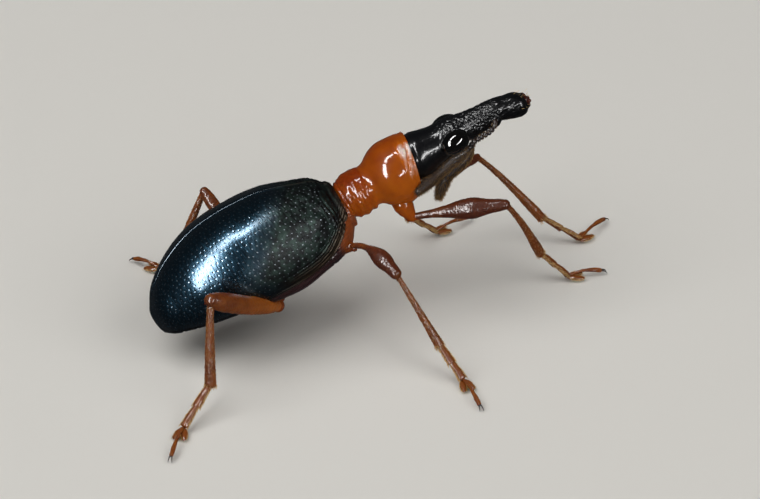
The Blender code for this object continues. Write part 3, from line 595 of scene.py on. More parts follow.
def pad_felt():
    """Felt of white adhesive hairs under the lobes of the feet: matt and a little see-through."""
    material, tree, shader = new_finish("pad_felt", Roughness=0.8, Subsurface_Weight=0.4,
                                        Subsurface_Scale=0.04 * MM, Sheen_Weight=0.3)
    grain = add(tree, "ShaderNodeAttribute", attribute_name="grain").outputs["Vector"]
    speckle = add(tree, "ShaderNodeTexNoise", {"Vector": grain, "Scale": 1.0 / 0.012, "Detail": 2.0})
    colour = add(tree, "ShaderNodeMix", {0: speckle.outputs["Fac"], MIX_A: linear("C9B89A"),
                                         MIX_B: linear("F4EDE0")}, data_type="RGBA")
    tree.links.new(colour.outputs[MIX_RESULT], shader.inputs["Base Color"])
    bump = add(tree, "ShaderNodeBump", {"Height": speckle.outputs["Fac"], "Strength": 1.0,
                                        "Distance": 0.006 * MM})
    tree.links.new(bump.outputs["Normal"], shader.inputs["Normal"])
    return material


# Shapes carried along a path

def make_track(points, radii, plane, flatness=1.0, rounding=(1.0, 1.0), cap=6):
    """Path with a ring size at each point, rounded off at both ends.

    Each end gets rings whose radius is the end radius times the cosine, and whose distance
    past the end is that radius times the rounding times the sine, of an angle up to a right angle.
    Sides are square to the path and as near as may be to the plane's normal.
    """
    points = np.array(points, float)
    radii = np.array(radii, float)
    heads = unit(np.gradient(points, axis=0))
    turn = np.linspace(0.0, QUARTER_TURN, cap + 1)[1:] * NEARLY
    before = points[0] - heads[0] * (radii[0] * rounding[0] * np.sin(turn[::-1]))[:, None]
    after = points[-1] + heads[-1] * (radii[-1] * rounding[1] * np.sin(turn))[:, None]
    points = np.concatenate([before, points, after])
    radii = np.concatenate([radii[0] * np.cos(turn[::-1]), radii, radii[-1] * np.cos(turn)])
    heads = np.concatenate([np.repeat(heads[:1], cap, axis=0), heads,
                            np.repeat(heads[-1:], cap, axis=0)])
    normal = np.broadcast_to(np.array(plane, float), heads.shape)
    sides = unit(normal - heads * np.einsum("ij,ij->i", normal, heads)[:, None])
    tops = np.cross(sides, heads)
    steps = np.linalg.norm(np.diff(points, axis=0), axis=1)
    along = np.concatenate([[0.0], np.cumsum(steps)])
    return Track(points, heads, sides, tops, radii, along, flatness)


def skin(track, sides, height=None, stain=0.0):
    """Closed round surface along a track: a ring square to it at each point.

    height, if given, is a function of the ring's local coordinates and the angle round it, and
    is added to the radius. The local coordinates, kept as the grain, are the place along the
    track and the two across it.
    """
    angle = np.linspace(0.0, FULL_TURN, sides, endpoint=False)[None, :]
    radii = track.radii[:, None] * np.ones_like(angle)
    along = track.along[:, None] * np.ones_like(angle)
    local = np.stack([along, radii * np.cos(angle), radii * np.sin(angle)], axis=-1)
    if height is not None:
        full = np.clip(track.radii / track.radii.max() * SMOOTH_ENDS, 0.0, 1.0)[:, None]
        radii = radii + height(local, angle) * full
    aside = (radii * np.cos(angle))[..., None] * track.sides[:, None, :]
    above = (radii * np.sin(angle))[..., None] * track.flatness * track.tops[:, None, :]
    return closed_shape(track.points[:, None, :] + aside + above, local, stain)


def grained(grains, seed=0):
    """Height function for a skin that bears even noise and nothing else."""
    return lambda local, angle: relief(local, grains, seed)


def between(values, places, track):
    """Values kept along a track, read at other places between its points."""
    return np.stack([np.interp(places, track.along, values[:, axis]) for axis in range(3)], axis=1)


# How hairs differ from one another: sideways, in length and in lift, as shares
HAIR_VEER = 0.16
HAIR_LENGTHS = (0.7, 1.15)
HAIR_LIFTS = (0.7, 1.3)
# Hairs are rooted at this share of the radius
ROOT_SUNK = 0.95
# One hair from root to tip: places of its rings, their widths, points and tones, how much paler
# its tip is, and the size of its patch on the OFBake map
SPIKE_POINTS = 10
SPIKE_STEPS = (-0.06, 0.40, 0.75, 1.0)
SPIKE_WIDTHS = (1.0, 0.85, 0.55)
SPIKE_CORNERS = (3, 3, 3, 1)
SPIKE_TONES = (0.0, 0.35, 0.7, 1.0)
TIP_PALER = 0.6
PATCH = 0.003
# Kinds of hair, with lengths and thicknesses in millimetres and the lift in degrees
HAIRS = {
    "snout": Hairs(26, (0.45, 0.90), 0.075, 0.0026, 34.0, 0.1, (0.5, 0.9), 81),
    "club_down": Hairs(1500, (0.04, 0.995), 0.048, 0.0024, 40.0, 0.15, (0.0, 0.35), 70),
    "club_bristle": Hairs(900, (0.03, 0.99), 0.062, 0.0040, 50.0, 0.10, (0.1, 0.6), 72),
    "stem": Hairs(150, (0.10, 0.99), 0.040, 0.0026, 45.0, 0.2, (0.3, 0.8), 74),
    "femur": Hairs(90, (0.10, 0.96), 0.040, 0.0018, 16.0, 0.1, (0.1, 0.5), 7),
    "tibia": Hairs(420, (0.06, 0.97), 0.050, 0.0028, 16.0, 0.1, (0.2, 0.7), 8),
    "ankle": Hairs(70, (0.94, 0.985), 0.062, 0.0034, 24.0, 0.0, (0.1, 0.5), 9),
    "foot": Hairs(50, (0.15, 0.95), 0.045, 0.0022, 16.0, 0.05, (0.1, 0.5), 300),
    "foot_fringe": Hairs(110, (0.12, 0.95), 0.064, 0.0034, 26.0, 0.05, (0.1, 0.6), 10),
    "lobe_fringe": Hairs(60, (0.15, 0.92), 0.042, 0.0028, 22.0, 0.0, (0.2, 0.7), 14),
    "claw_segment": Hairs(40, (0.2, 0.95), 0.040, 0.0020, 14.0, 0.1, (0.1, 0.6), 18),
}


def bristles(track, kind, seed=0, angles=ROUND, paler=0.0):
    """Hairs of one kind, rooted on a track's surface at random places within a range of angles.

    Each is a three-sided spike. Its middle line starts on the surface, leaves it at the lift
    angle towards the track's end and curls back: root + length * (t * start - curl * t^2 * normal).
    """
    count = kind.count
    draw = np.random.default_rng(kind.seed + seed)
    share = draw.uniform(*kind.span, count)
    angle = draw.uniform(*angles, count)
    places = share * track.along[-1]
    middle = between(track.points, places, track)
    head, side, top = [unit(between(values, places, track))
                       for values in (track.heads, track.sides, track.tops)]
    radius = np.interp(places, track.along, track.radii)
    outward = side * np.cos(angle)[:, None] + top * (np.sin(angle) * track.flatness)[:, None]
    roots = middle + outward * (radius * ROOT_SUNK)[:, None]
    normals = unit(outward)
    veer = draw.normal(0.0, HAIR_VEER, count)[:, None]
    lies = unit(head + veer * np.cross(normals, head))
    sizes = kind.length * draw.uniform(*HAIR_LENGTHS, count)
    lifts = np.radians(kind.lift) * draw.uniform(*HAIR_LIFTS, count)
    tones = paler + draw.uniform(*kind.tone, count)
    spots = np.stack([share, angle / FULL_TURN % 1.0], axis=1)
    return spikes(roots, normals, lies, sizes, kind.thickness, lifts, kind.curl, tones), spots


def spikes(roots, normals, lies, sizes, thickness, lifts, curl, tones):
    """Three-sided spikes, each of three rings of corners and a tip, closed at the root."""
    count = len(roots)
    steps = np.array(SPIKE_STEPS)
    widths = thickness * np.array(SPIKE_WIDTHS)
    start = lies * np.cos(lifts)[:, None] + normals * np.sin(lifts)[:, None]
    onward = steps[:, None] * start[:, None, :]
    back = curl * (steps ** 2)[:, None] * normals[:, None, :]
    path = roots[:, None, :] + sizes[:, None, None] * (onward - back)
    across = np.cross(lies, normals)
    turn = np.radians([90.0, 210.0, 330.0])[:, None]
    corner = np.cos(turn) * across[:, None, :] + np.sin(turn) * normals[:, None, :]
    rings = path[:, :3, None, :] + widths[:, None, None] * corner[:, None, :, :]
    points = np.concatenate([rings.reshape(count, 9, 3), path[:, 3:, :]], axis=1).reshape(-1, 3)
    base = np.arange(count)[:, None] * SPIKE_POINTS
    corners = [(3 * ring + c, 3 * ring + (c + 1) % 3) for ring in (0, 1) for c in (0, 1, 2)]
    quads = np.concatenate([base + [a, b, b + 3, a + 3] for a, b in corners])
    tips = np.concatenate([base + [6 + c, 6 + (c + 1) % 3, 9] for c in (0, 1, 2)])
    roots_shut = base + [2, 1, 0]
    faces = turned_out(points, [quads, tips, roots_shut])
    ramp = np.repeat(SPIKE_TONES, SPIKE_CORNERS)
    stain = np.clip(tones[:, None] + TIP_PALER * ramp[None, :], 0.0, 1.0).ravel()
    return Shape(points, faces, points.copy(), stain)


def place_coat(name, tufts, material):
    """Put hairs in as one mesh, with an OFBake map that gives each hair a small patch at its
    root's place on the unwrapped skin."""
    item = place_piece(name, joined([shape for shape, _ in tufts]), material)
    spots = np.concatenate([spot + [i, 0.0] for i, (_, spot) in enumerate(tufts)])
    spots = spots / [len(tufts), 1.0]
    within = np.stack([np.repeat([0.0, 0.33, 0.67, 1.0], SPIKE_CORNERS),
                       np.array([0.0, 0.5, 1.0] * 3 + [0.5])], axis=1) - 0.5
    flat = spots[:, None, :] * (1.0 - PATCH) + PATCH / 2 + within[None] * PATCH
    mesh = item.data
    corners = np.zeros(len(mesh.loops), np.int32)
    mesh.loops.foreach_get("vertex_index", corners)
    layer = mesh.uv_layers.new(name="OFBake")
    layer.data.foreach_set("uv", flat.reshape(-1, 2)[corners].astype(np.float32).ravel())


# Body

# Wing case: share of the way from suture to margin above its widest line, level that its ends
# are rounded off about as a share of crown plus margin, rounding of back and front, place of the
# flat inner face, depth of the flank's ellipse to that of the belly, and its least share
CROWN_SHARE = 0.76
ELYTRON_MIDDLE = 0.4
ELYTRON_ENDS = (0.10, 0.05)
INNER_FACE = 0.003
FLANK_DEPTH = 1.15
LEAST_FLANK = 0.04
# Its punctures, and from which depth on they bear a pale dot of painted glint, light caught on the pit's
# wall, and how pale
PIT_ROWS = 21.0
PIT_SPACING = 0.090
PIT_RADIUS = 0.0105
PIT_DEPTH = 0.0042
GLINT_DEPTH = 0.55
PAINTED_GLINT = 0.6
# Distances over which the relief sets in, from the suture, the margin and the base. A pair below
# zero, here and further on, is read with the sign of the distance turned, and ends the relief
DISC_FROM_SUTURE = (0.05, 0.10)
DISC_FROM_MARGIN = (0.07, 0.13)
DISC_FROM_BASE = (0.08, 0.25)
BASE_GROOVED = (0.09, 0.13)
BASE_SMOOTH = (-0.36, -0.20)
BASE_FOLDED = (-0.26, -0.05)
FLANK_GROOVED = (-0.36, -0.22)
# Places along the body over which it sets in
PITS_SET_IN = (-4.50, -4.36)
EDGES_SET_IN = (-4.48, -4.22)
SCRATCHES_SET_IN = (-3.0, -1.5)
FLANK_SETS_IN = (-2.5, -1.9)
LUMPS_SET_IN = (-2.2, -1.4)
LEAST_SCRATCHED = 0.15
SCRATCHES = Grain(0.0011, 0.036, 11, (1.0, 0.34, 0.34))
DENTS = Grain(0.0035, 0.55, 12)
LUMPS = Grain(0.0040, 0.16, 16)
BASE_FOLDS = Grain(0.0050, 0.06, 13, (1.0, 0.4, 0.4))
FLANK_GROOVES = Lines(0.0045, 0.058, (Grain(0.8, 0.5, 17),))
BASE_GROOVES = Lines(0.0040, 0.060, (Grain(1.6, 0.30, 15),))
SUTURE_RIDGES = (Ridge(0.005, 0.016, 0.013), Ridge(-0.006, 0.044, 0.014), Ridge(-0.010, 0.0, 0.005))
MARGIN_RIDGES = (Ridge(0.008, 0.020, 0.018), Ridge(-0.009, 0.062, 0.016))
BASE_RIDGES = (Ridge(0.016, 0.02, 0.035), Ridge(-0.010, 0.085, 0.025))
# Swellings of the shoulder: place, share of the way from suture to margin, height and reach
SHOULDER = ((-1.42, 0.60, 0.022, 0.10), (-1.30, 0.44, 0.012, 0.07), (-1.22, 0.75, 0.014, 0.08))
SHOULDER_ROUND = 1.6
# End of the snout, drawn upright, that its hairs are rooted on
SNOUT_END_ROUTE = ((2.20, 0.0, -0.12), (2.30, 0.0, -0.142), (2.40, 0.0, -0.155))
SNOUT_END_RADII = (0.195, 0.195, 0.155)


def rounded_places(back, front, depth_back, depth_front, count, cap=9):
    """Places from back to front with extra ones past both ends, and the share of full size there.

    Past an end the size falls as the cosine while the place moves on as the sine of an angle.
    At the back the angle starts at 45 degrees, where the steep outline has that slope.
    """
    turn = np.linspace(0.0, QUARTER_TURN, cap + 1)[1:] * NEARLY_SHUT
    steep = 0.5 * QUARTER_TURN
    back_turn = (steep + 0.5 * turn)[::-1]
    middle = np.linspace(back, front, count)
    places = np.concatenate([back - depth_back * (np.sin(back_turn) - math.sin(steep)), middle,
                             front + depth_front * np.sin(turn)])
    size = np.concatenate([np.cos(back_turn) / math.cos(steep), np.ones(count), np.cos(turn)])
    return places[:, None], size[:, None]


def flank_share(x, level):
    """Share of the greatest half width at a level below the widest line: the ellipse
    sqrt(1 - (level / depth) squared), a little deeper than the belly."""
    depth = -FLANK_DEPTH * smooth(x, BELLY_LEVEL)
    return np.sqrt(np.clip(1.0 - (level / depth) ** 2, LEAST_FLANK, 1.0))


def elytron_face(x, v, size):
    """Outer face of a wing case before its relief, with the levels of its middle and its margin.

    Over the back it is a quarter of an oval of power 2.2 down to the widest line, and below that
    it follows the flank's ellipse down to the margin.
    """
    width, crown, margin = [smooth(x, knots) for knots in
                            (HINDBODY_HALF_WIDTH, ELYTRA_CROWN, ELYTRA_MARGIN)]
    turn = np.clip(v / CROWN_SHARE, 0.0, 1.0) * QUARTER_TURN
    level = margin * np.clip((v - CROWN_SHARE) / (1.0 - CROWN_SHARE), 0.0, 1.0)
    reach = (np.sin(turn) ** BACK_ROUND + np.cos(turn) ** BACK_ROUND) ** (1.0 / BACK_ROUND)
    above = v < CROWN_SHARE
    y = np.where(above, width * np.sin(turn) / reach, width * flank_share(x, level))
    z = np.where(above, crown * np.cos(turn) / reach, level)
    centre = ELYTRON_MIDDLE * (crown + margin)
    points = np.stack([x + 0.0 * y, y * size, centre + (z - centre) * size], axis=-1)
    return points, centre, margin


def elytron_relief(points, x, v, from_suture, from_margin, from_base):
    """Height of a wing case's relief, and where its pits bear pale dots of painted glint.

    It adds rows of pits, scratches and lumps over the disc, the raised suture, the margin's
    bead and grooves, the rim, grooves and folds of the base, and the shoulder's swellings.
    """
    disc = (ease(from_suture, *DISC_FROM_SUTURE) * ease(from_margin, *DISC_FROM_MARGIN)
            * ease(from_base, *DISC_FROM_BASE))
    pitch = (PIT_SPACING, from_suture[:, -1:] / PIT_ROWS)
    dots = pits(x / PIT_SPACING, v * PIT_ROWS, PIT_RADIUS, pitch) * disc
    pitted = ease(x, *PITS_SET_IN)
    scratched = LEAST_SCRATCHED + (1.0 - LEAST_SCRATCHED) * ease(x, *SCRATCHES_SET_IN)
    height = -PIT_DEPTH * dots * pitted
    height += disc * (relief(points, [SCRATCHES]) * scratched + relief(points, [DENTS])
                      + relief(points, [LUMPS]) * ease(x, *LUMPS_SET_IN))
    height += ease(x, *EDGES_SET_IN) * (ridges(from_suture, SUTURE_RIDGES)
                                        + ridges(from_margin, MARGIN_RIDGES))
    beside_margin = ease(-from_margin, *FLANK_GROOVED) * ease(x, *FLANK_SETS_IN)
    height += grooves(from_margin, points, FLANK_GROOVES) * beside_margin
    near_base = ease(from_base, *BASE_GROOVED) * ease(-from_base, *BASE_SMOOTH)
    height += grooves(from_base, points, BASE_GROOVES) * near_base
    height += ridges(from_base, BASE_RIDGES)
    height += relief(points, [BASE_FOLDS]) * ease(-from_base, *BASE_FOLDED)
    for place, turn_share, swell, reach in SHOULDER:
        height += swell * bell(np.hypot(x - place, (v - turn_share) * SHOULDER_ROUND), reach)
    return height, (dots > GLINT_DEPTH) * pitted


def elytron_stain(x, from_suture, from_margin, from_base):
    """How brown a wing case is along its flank, its edge, the suture and the base."""
    flank = 0.9 * ease(-from_margin, -0.30, -0.06) * ease(x, -3.0, -1.8)
    edge = 0.7 * ease(-from_margin, -0.10, -0.03)
    seam = 0.35 * ease(-from_suture, -0.024, -0.012)
    base = 0.3 * ease(-from_base, -0.09, -0.02)
    return np.clip(np.maximum(np.maximum(flank, edge), seam) + base, 0.0, 1.0)


def elytron_shape(side):
    """One wing case: its outer face moved out by the relief along its normals, and a flat inner
    face at the suture."""
    x, size = rounded_places(HINDBODY_BACK, HINDBODY_FRONT, *ELYTRON_ENDS, ELYTRON_GRID[0])
    v = np.linspace(0.0, 1.0, ELYTRON_GRID[1])[None, :]
    points, centre, margin = elytron_face(x, v, size)
    steps = np.linalg.norm(np.diff(points, axis=1), axis=-1)
    from_suture = np.concatenate([np.zeros_like(x), np.cumsum(steps, axis=1)], axis=1)
    from_margin = from_suture[:, -1:] - from_suture
    from_base = HINDBODY_FRONT - x + 0.0 * from_suture
    height, painted_glints = elytron_relief(points, x, v, from_suture, from_margin, from_base)
    points = points - grid_normals(points) * (height * size)[..., None]
    points[..., 1] = np.maximum(points[..., 1], INNER_FACE)
    inner = np.stack([x, np.full_like(x, INNER_FACE), centre + (margin - centre) * size], axis=-1)
    rings = np.concatenate([points, inner], axis=1) * [1.0, side, 1.0]
    # Brown of the flank, edge, suture and base, less the pale dots of painted glint on the deeper pits
    stain = elytron_stain(x, from_suture, from_margin, from_base) - PAINTED_GLINT * painted_glints
    stain = np.concatenate([stain, np.zeros_like(x)], axis=1)
    return closed_shape(rings, rings.copy(), stain)


# Underside: how far ahead of the wing cases' back and front it begins and ends, its rounding
# there, how far its edge lies above and inside their margin, and the roof that closes it
UNDERSIDE_SHIFT = (0.02, 0.04)
UNDERSIDE_ENDS = (0.09, 0.07)
EDGE_RISE = 0.035
EDGE_INSET = 0.012
ROOF_RISE = 0.10
ROOF_SHARES = ((0.6, 0.0, -0.6),)
UNDERSIDE_MIDDLE = 0.3
UNDERSIDE_GRAIN = Grain(0.0018, 0.045, 21)
BREAST_GROOVE = Ridge(-0.010, 0.0, 0.012)
SUTURE_GROOVE = Ridge(-0.016, 0.0, 0.014)
SUTURE_BOW = 0.05
THORAX_LINES = Lines(0.005, 0.065, ())
THORAX_FLANK = (0.75, 0.95)
THORAX_SETS_IN = (-2.6, -2.0)


def underside_shape():
    """Skin of the whole underside, from the neck to the tip: the lower half of an ellipse from
    margin to margin, closed on top inside the wing cases, with a groove at each suture, one
    along the middle of the breast, and wrinkles along the thorax's sides."""
    x, size = rounded_places(HINDBODY_BACK + UNDERSIDE_SHIFT[0], HINDBODY_FRONT + UNDERSIDE_SHIFT[1],
                             *UNDERSIDE_ENDS, UNDERSIDE_GRID[0])
    turn = np.linspace(-QUARTER_TURN, QUARTER_TURN, UNDERSIDE_GRID[1])[None, :]
    margin = smooth(x, ELYTRA_MARGIN) + EDGE_RISE
    belly = smooth(x, BELLY_LEVEL)
    half = smooth(x, HINDBODY_HALF_WIDTH) * flank_share(x, margin) - EDGE_INSET
    points = np.stack([x + 0.0 * turn, half * np.sin(turn),
                       margin - (margin - belly) * np.cos(turn)], axis=-1)
    normals = grid_normals(points)
    normals *= np.sign(-normals[:, UNDERSIDE_GRID[1] // 2, 2])[:, None, None]
    height = relief(points, [UNDERSIDE_GRAIN])
    height += ridges(points[..., 1], [BREAST_GROOVE]) * ease(x, SUTURES[1], SUTURES[1] + 0.1)
    for suture in SUTURES:
        height += ridges(x - suture - SUTURE_BOW * np.cos(turn) ** 2, [SUTURE_GROOVE])
    lines = grooves(points[..., 2], points, THORAX_LINES) * ease(x, *THORAX_SETS_IN)
    height += lines * ease(np.abs(np.sin(turn)), *THORAX_FLANK)
    points = points + normals * height[..., None]
    centre = margin - UNDERSIDE_MIDDLE * (margin - belly)
    points[..., 1] *= size
    points[..., 2] = centre + (points[..., 2] - centre) * size
    aside = np.array(ROOF_SHARES)
    roof = np.stack([x + 0.0 * aside, half * size * aside,
                     centre + (margin + ROOF_RISE - centre) * size + 0.0 * aside], axis=-1)
    rings = np.concatenate([points, roof], axis=1)
    stain = 0.5 * ease(-x, 1.25, 1.40) + 0.5 * ease(-x, 2.55, 2.85) + 0.0 * rings[..., 0]
    return closed_shape(rings, rings.copy(), stain)


# Neck: its reach along the body, its radius there, and its ring folds
NECK_REACH = (-1.12, -0.80)
NECK_RADIUS = ((-1.12, 0.36), (-1.0, 0.315), (-0.92, 0.285), (-0.80, 0.25))
NECK_FOLDS = Lines(0.012, 0.05, ())
NECK_GRAIN = Grain(0.004, 0.05, 31)
NECK_GRID = (40, 96)
NECK_ENDS = (0.2, 0.2)
NECK_STAIN = 0.35


def neck_shape():
    """Wrinkled peg between the prothorax and the wing cases: a round bar whose ring folds are a
    cosine of the place along it."""
    places = np.linspace(*NECK_REACH, NECK_GRID[0])
    radii = np.interp(places, *np.transpose(NECK_RADIUS))
    points = np.stack([places, 0.0 * places, np.full_like(places, BODY_LEVEL)], axis=1)
    track = make_track(points, radii, (0.0, 1.0, 0.0), rounding=NECK_ENDS)

    def folds(local, angle):
        return grooves(local[..., 0], local, NECK_FOLDS) + relief(local, [NECK_GRAIN])

    shape = skin(track, NECK_GRID[1], folds, NECK_STAIN)
    return shape._replace(points=body_to_model(shape.points))


# Prothorax: the collar's lip and the radii inside it, and the rounding at the back
COLLAR_LIP = 0.022
COLLAR_INSIDE = (0.36, 0.33, 0.25, 0.12, 0.02)
COLLAR_DEPTH = (0.01, 0.10)
PROTHORAX_END = 0.03
# Where the collar is crumpled: round it, by the angle down from the top, and along it
COLLAR_SIDES = (Ridge(1.0, 0.76, 0.30), Ridge(0.45, 1.35, 0.40))
COLLAR_SETS_IN = (0.17, 0.24)
COLLAR_ENDS = (-0.40, -0.36)
CRUMPLES = Grain(0.017, 0.062, 45, (1.0, 0.35, 0.35))
CREASES = Grain(0.010, 0.034, 46, (1.0, 0.50, 0.50))
COLLAR_GROOVE = Ridge(-0.006, 0.19, 0.014)
COLLAR_WAVER = Grain(0.02, 0.4, 47)
# The hind lobe's folds and end ring, the chest's swelling and the globe's faint dents
HIND_LOBE_STARTS = (0.40, 0.48)
HIND_LOBE_ENDS = (-0.93, -0.90)
HIND_LOBE_GRAINS = (Grain(0.012, 0.11, 41, (1.0, 0.32, 0.32)), Grain(0.0025, 0.055, 42))
END_RING = (Ridge(-0.012, -0.865, 0.02), Ridge(0.010, -0.895, 0.02))
CHEST_ROUND = (0.55, 0.95)
CHEST_START = (-0.42, -0.25)
CHEST_GRAIN = Grain(0.006, 0.08, 43, (0.6, 1.0, 1.0))
GLOBE_DENTS = Grain(0.0018, 0.4, 44)


def prothorax_profile():
    """Places along the prothorax and its radii: a rounded back end, the outline, the collar's
    lip turned in by half a circle, and the wall inside it."""
    outer = np.linspace(PROTHORAX_BACK, PROTHORAX_FRONT, PROTHORAX_GRID[0])
    lip_turn = np.linspace(0.0, math.pi, 13)[1:]
    back_turn = np.linspace(QUARTER_TURN * NEARLY, 0.0, 9)[:-1]
    lip_radius = smooth(PROTHORAX_FRONT, PROTHORAX_RADIUS) - COLLAR_LIP
    inside = np.linspace(*(PROTHORAX_FRONT - depth for depth in COLLAR_DEPTH), len(COLLAR_INSIDE))
    x = np.concatenate([PROTHORAX_BACK - PROTHORAX_END * np.sin(back_turn), outer,
                        PROTHORAX_FRONT + COLLAR_LIP * np.sin(lip_turn), inside])
    radius = np.concatenate([smooth(PROTHORAX_BACK, PROTHORAX_RADIUS) * np.cos(back_turn),
                             smooth(outer, PROTHORAX_RADIUS),
                             lip_radius + COLLAR_LIP * np.cos(lip_turn), COLLAR_INSIDE])
    return x[:, None], radius[:, None]


def prothorax_shape():
    """Round forebody: a globe in front and a narrower lobe behind, each ring a circle, tilted
    forward at the top towards the collar, which turns in round the head's base."""
    x, radius = prothorax_profile()
    angle = np.linspace(0.0, FULL_TURN, PROTHORAX_GRID[1], endpoint=False)[None, :]
    low = 0.5 - 0.5 * np.cos(angle)
    down = np.minimum(angle, FULL_TURN - angle)
    local = np.stack([x + 0.0 * angle, radius * np.sin(angle), radius * np.cos(angle)], axis=-1)
    sides = np.clip(ridges(down, COLLAR_SIDES), 0.0, 1.0)
    collar = ease(x, *COLLAR_SETS_IN) * ease(-x, *COLLAR_ENDS) * sides
    lobe = ease(-x, *HIND_LOBE_STARTS) * ease(x, *HIND_LOBE_ENDS)
    chest = ease(low, *CHEST_ROUND) * ease(x, *CHEST_START)
    crumples = relief(local, [CRUMPLES])
    height = collar * (crumples + relief(local, [CREASES]))
    height += ridges(x + relief(local, [COLLAR_WAVER]), [COLLAR_GROOVE]) * sides
    height += lobe * (0.40 + 0.60 * low) * relief(local, HIND_LOBE_GRAINS)
    height += ridges(x, END_RING)
    height += chest * (CHEST_SWELL + relief(local, [CHEST_GRAIN]))
    height += relief(local, [GLOBE_DENTS])
    radius = radius + height
    z = BODY_LEVEL + radius * np.cos(angle)
    lean = COLLAR_LEAN * np.clip((x - LEAN_START) / (PROTHORAX_FRONT - LEAN_START), 0.0, 1.0)
    points = np.stack([x + lean * z, radius * np.sin(angle), z], axis=-1)
    # Deeper colour on the dark hind lobe and on the chest, and painted shade that deepens the top and
    # the lobe's upper side. The collar pales most on the crests of its crumples: thin skin, and partly
    # painted highlight.
    dark = 0.35 * lobe * (1.0 - 0.6 * low) + 0.25 * chest + 0.55 * (1.0 - low) ** 1.5
    pale = 0.25 + 0.75 * ease(crumples / CRUMPLES.height, -0.9, 0.5)
    stain = np.clip(dark, 0.0, 1.0) * (1.0 - collar) - collar * pale
    return closed_shape(points, local, stain)


# Head and snout: how boxed the snout is, where the skin is grainy, and its relief
SNOUT_END = 0.045
SNOUT_BOXED = (0.05, 1.3, 1.6)
GRAINY_SNOUT = (1.30, 1.45)
GRAINY_BROW = (0.85, 1.05)
GRAINY_TOP = (0.60, 0.85)
POLISHED_TIP = (1.90, 2.06)
GRANULES = Grain(1.5, 0.052, 53)
GRANULE_HEIGHT = 0.0042
FINE_GRAIN = Grain(0.0028, 0.028, 51)
TIP_GRAIN = Grain(0.0022, 0.085, 52, (0.6, 1.0, 1.0))
TIP_SETS_IN = (1.75, 2.0)
HEAD_PITS = Pits(0.085, 22.0, 0.13, 0.005)
HEAD_PITS_SET_IN = (0.60, 0.70)
COLLAR_RING = Ridge(-0.006, PROTHORAX_FRONT + 0.075, 0.020)
ORBIT_RIM = Ridge(0.004, 1.08, 0.06)
SOCKET = (1.83, 0.125, -0.150)
SOCKET_SWELL = Ridge(0.060, 0.0, 0.075)
SOCKET_SQUEEZE = (0.80, 1.0, 1.0)
SNOUT_NOTCH = Ridge(-0.022, 1.935, 0.030)
NOTCH_LOW = (-0.5, -0.2)
THROAT_GROOVE = Ridge(-0.012, math.pi, 0.10)
THROAT_SETS_IN = (1.2, 1.4)
LIP_RIDGES = (Ridge(0.005, 2.33, 0.04), Ridge(-0.007, 2.40, 0.015))
LIP_BROWN = (2.41, 2.47)


def head_relief(points, x, z, angle, upper, grainy):
    """Height of the head's relief: granules and fine grain where it is grainy, sparse pits where
    it is polished, the ring by the collar, the rims of the eyes, the feelers' sockets, and the
    notch, throat groove and lip of the snout."""
    height = grainy * (GRANULE_HEIGHT * np.tanh(relief(points, [GRANULES]))
                       + relief(points, [FINE_GRAIN]))
    height += relief(points, [TIP_GRAIN]) * ease(x, *TIP_SETS_IN)
    sparse = pits(x / HEAD_PITS.spacing, angle / FULL_TURN * HEAD_PITS.rows, HEAD_PITS.radius)
    height -= HEAD_PITS.depth * sparse * (1.0 - grainy) * ease(x, *HEAD_PITS_SET_IN)
    height += ridges(x - COLLAR_LEAN * z, [COLLAR_RING])
    mirror = np.array([[1.0, side, 1.0] for side in (-1, 1)])
    eyes = [np.linalg.norm((points - EYE_CENTRE * flip) / EYE_RADII, axis=-1) for flip in mirror]
    height += ridges(np.minimum(*eyes), [ORBIT_RIM])
    for flip in mirror:
        spread = np.linalg.norm((points - SOCKET * flip) * SOCKET_SQUEEZE, axis=-1)
        height += ridges(spread, [SOCKET_SWELL])
    height += ridges(x, [SNOUT_NOTCH]) * ease(-upper, *NOTCH_LOW)
    height += ridges(angle, [THROAT_GROOVE]) * ease(x, *THROAT_SETS_IN)
    return height + ridges(x, LIP_RIDGES)


def head_shape():
    """Head and snout in one skin: ellipses through the named sections, boxed a little by the
    squared sine of twice the angle, polished behind the eyes, and grainy between and in front
    of them."""
    first, last = HEAD_SECTIONS[0][0], HEAD_SECTIONS[-1][0]
    turn = np.linspace(0.0, QUARTER_TURN, 13)[1:] * NEARLY
    x = np.concatenate([np.linspace(first, last, HEAD_GRID[0]), last + SNOUT_END * np.sin(turn)])
    x = x[:, None]
    size = np.concatenate([np.ones(HEAD_GRID[0]), np.cos(turn)])[:, None]
    level, wide, high = [smooth(x, [(row[0], row[i]) for row in HEAD_SECTIONS]) for i in (1, 2, 3)]
    angle = np.linspace(0.0, FULL_TURN, HEAD_GRID[1], endpoint=False)[None, :]
    boxed = 1.0 + SNOUT_BOXED[0] * np.sin(2.0 * angle) ** 2 * ease(x, *SNOUT_BOXED[1:])
    y = wide * size * np.sin(angle) * boxed
    z = level + high * size * np.cos(angle) * boxed
    points = np.stack([x + 0.0 * angle, y, z], axis=-1)
    radial = unit(np.stack([0.0 * y, y / wide ** 2, (z - level) / high ** 2], axis=-1))
    upper = 0.5 + 0.5 * np.cos(angle)
    brow = ease(upper, *GRAINY_TOP) * ease(x, *GRAINY_BROW)
    grainy = np.maximum(ease(x, *GRAINY_SNOUT), brow) * (1.0 - 0.9 * ease(x, *POLISHED_TIP))
    height = head_relief(points, x, z, angle, upper, grainy)
    points = points + radial * (height * np.clip(size, 0.3, 1.0))[..., None]
    stain = 0.9 * ease(x, *LIP_BROWN) - 0.9 * grainy
    return closed_shape(points, points.copy(), stain)


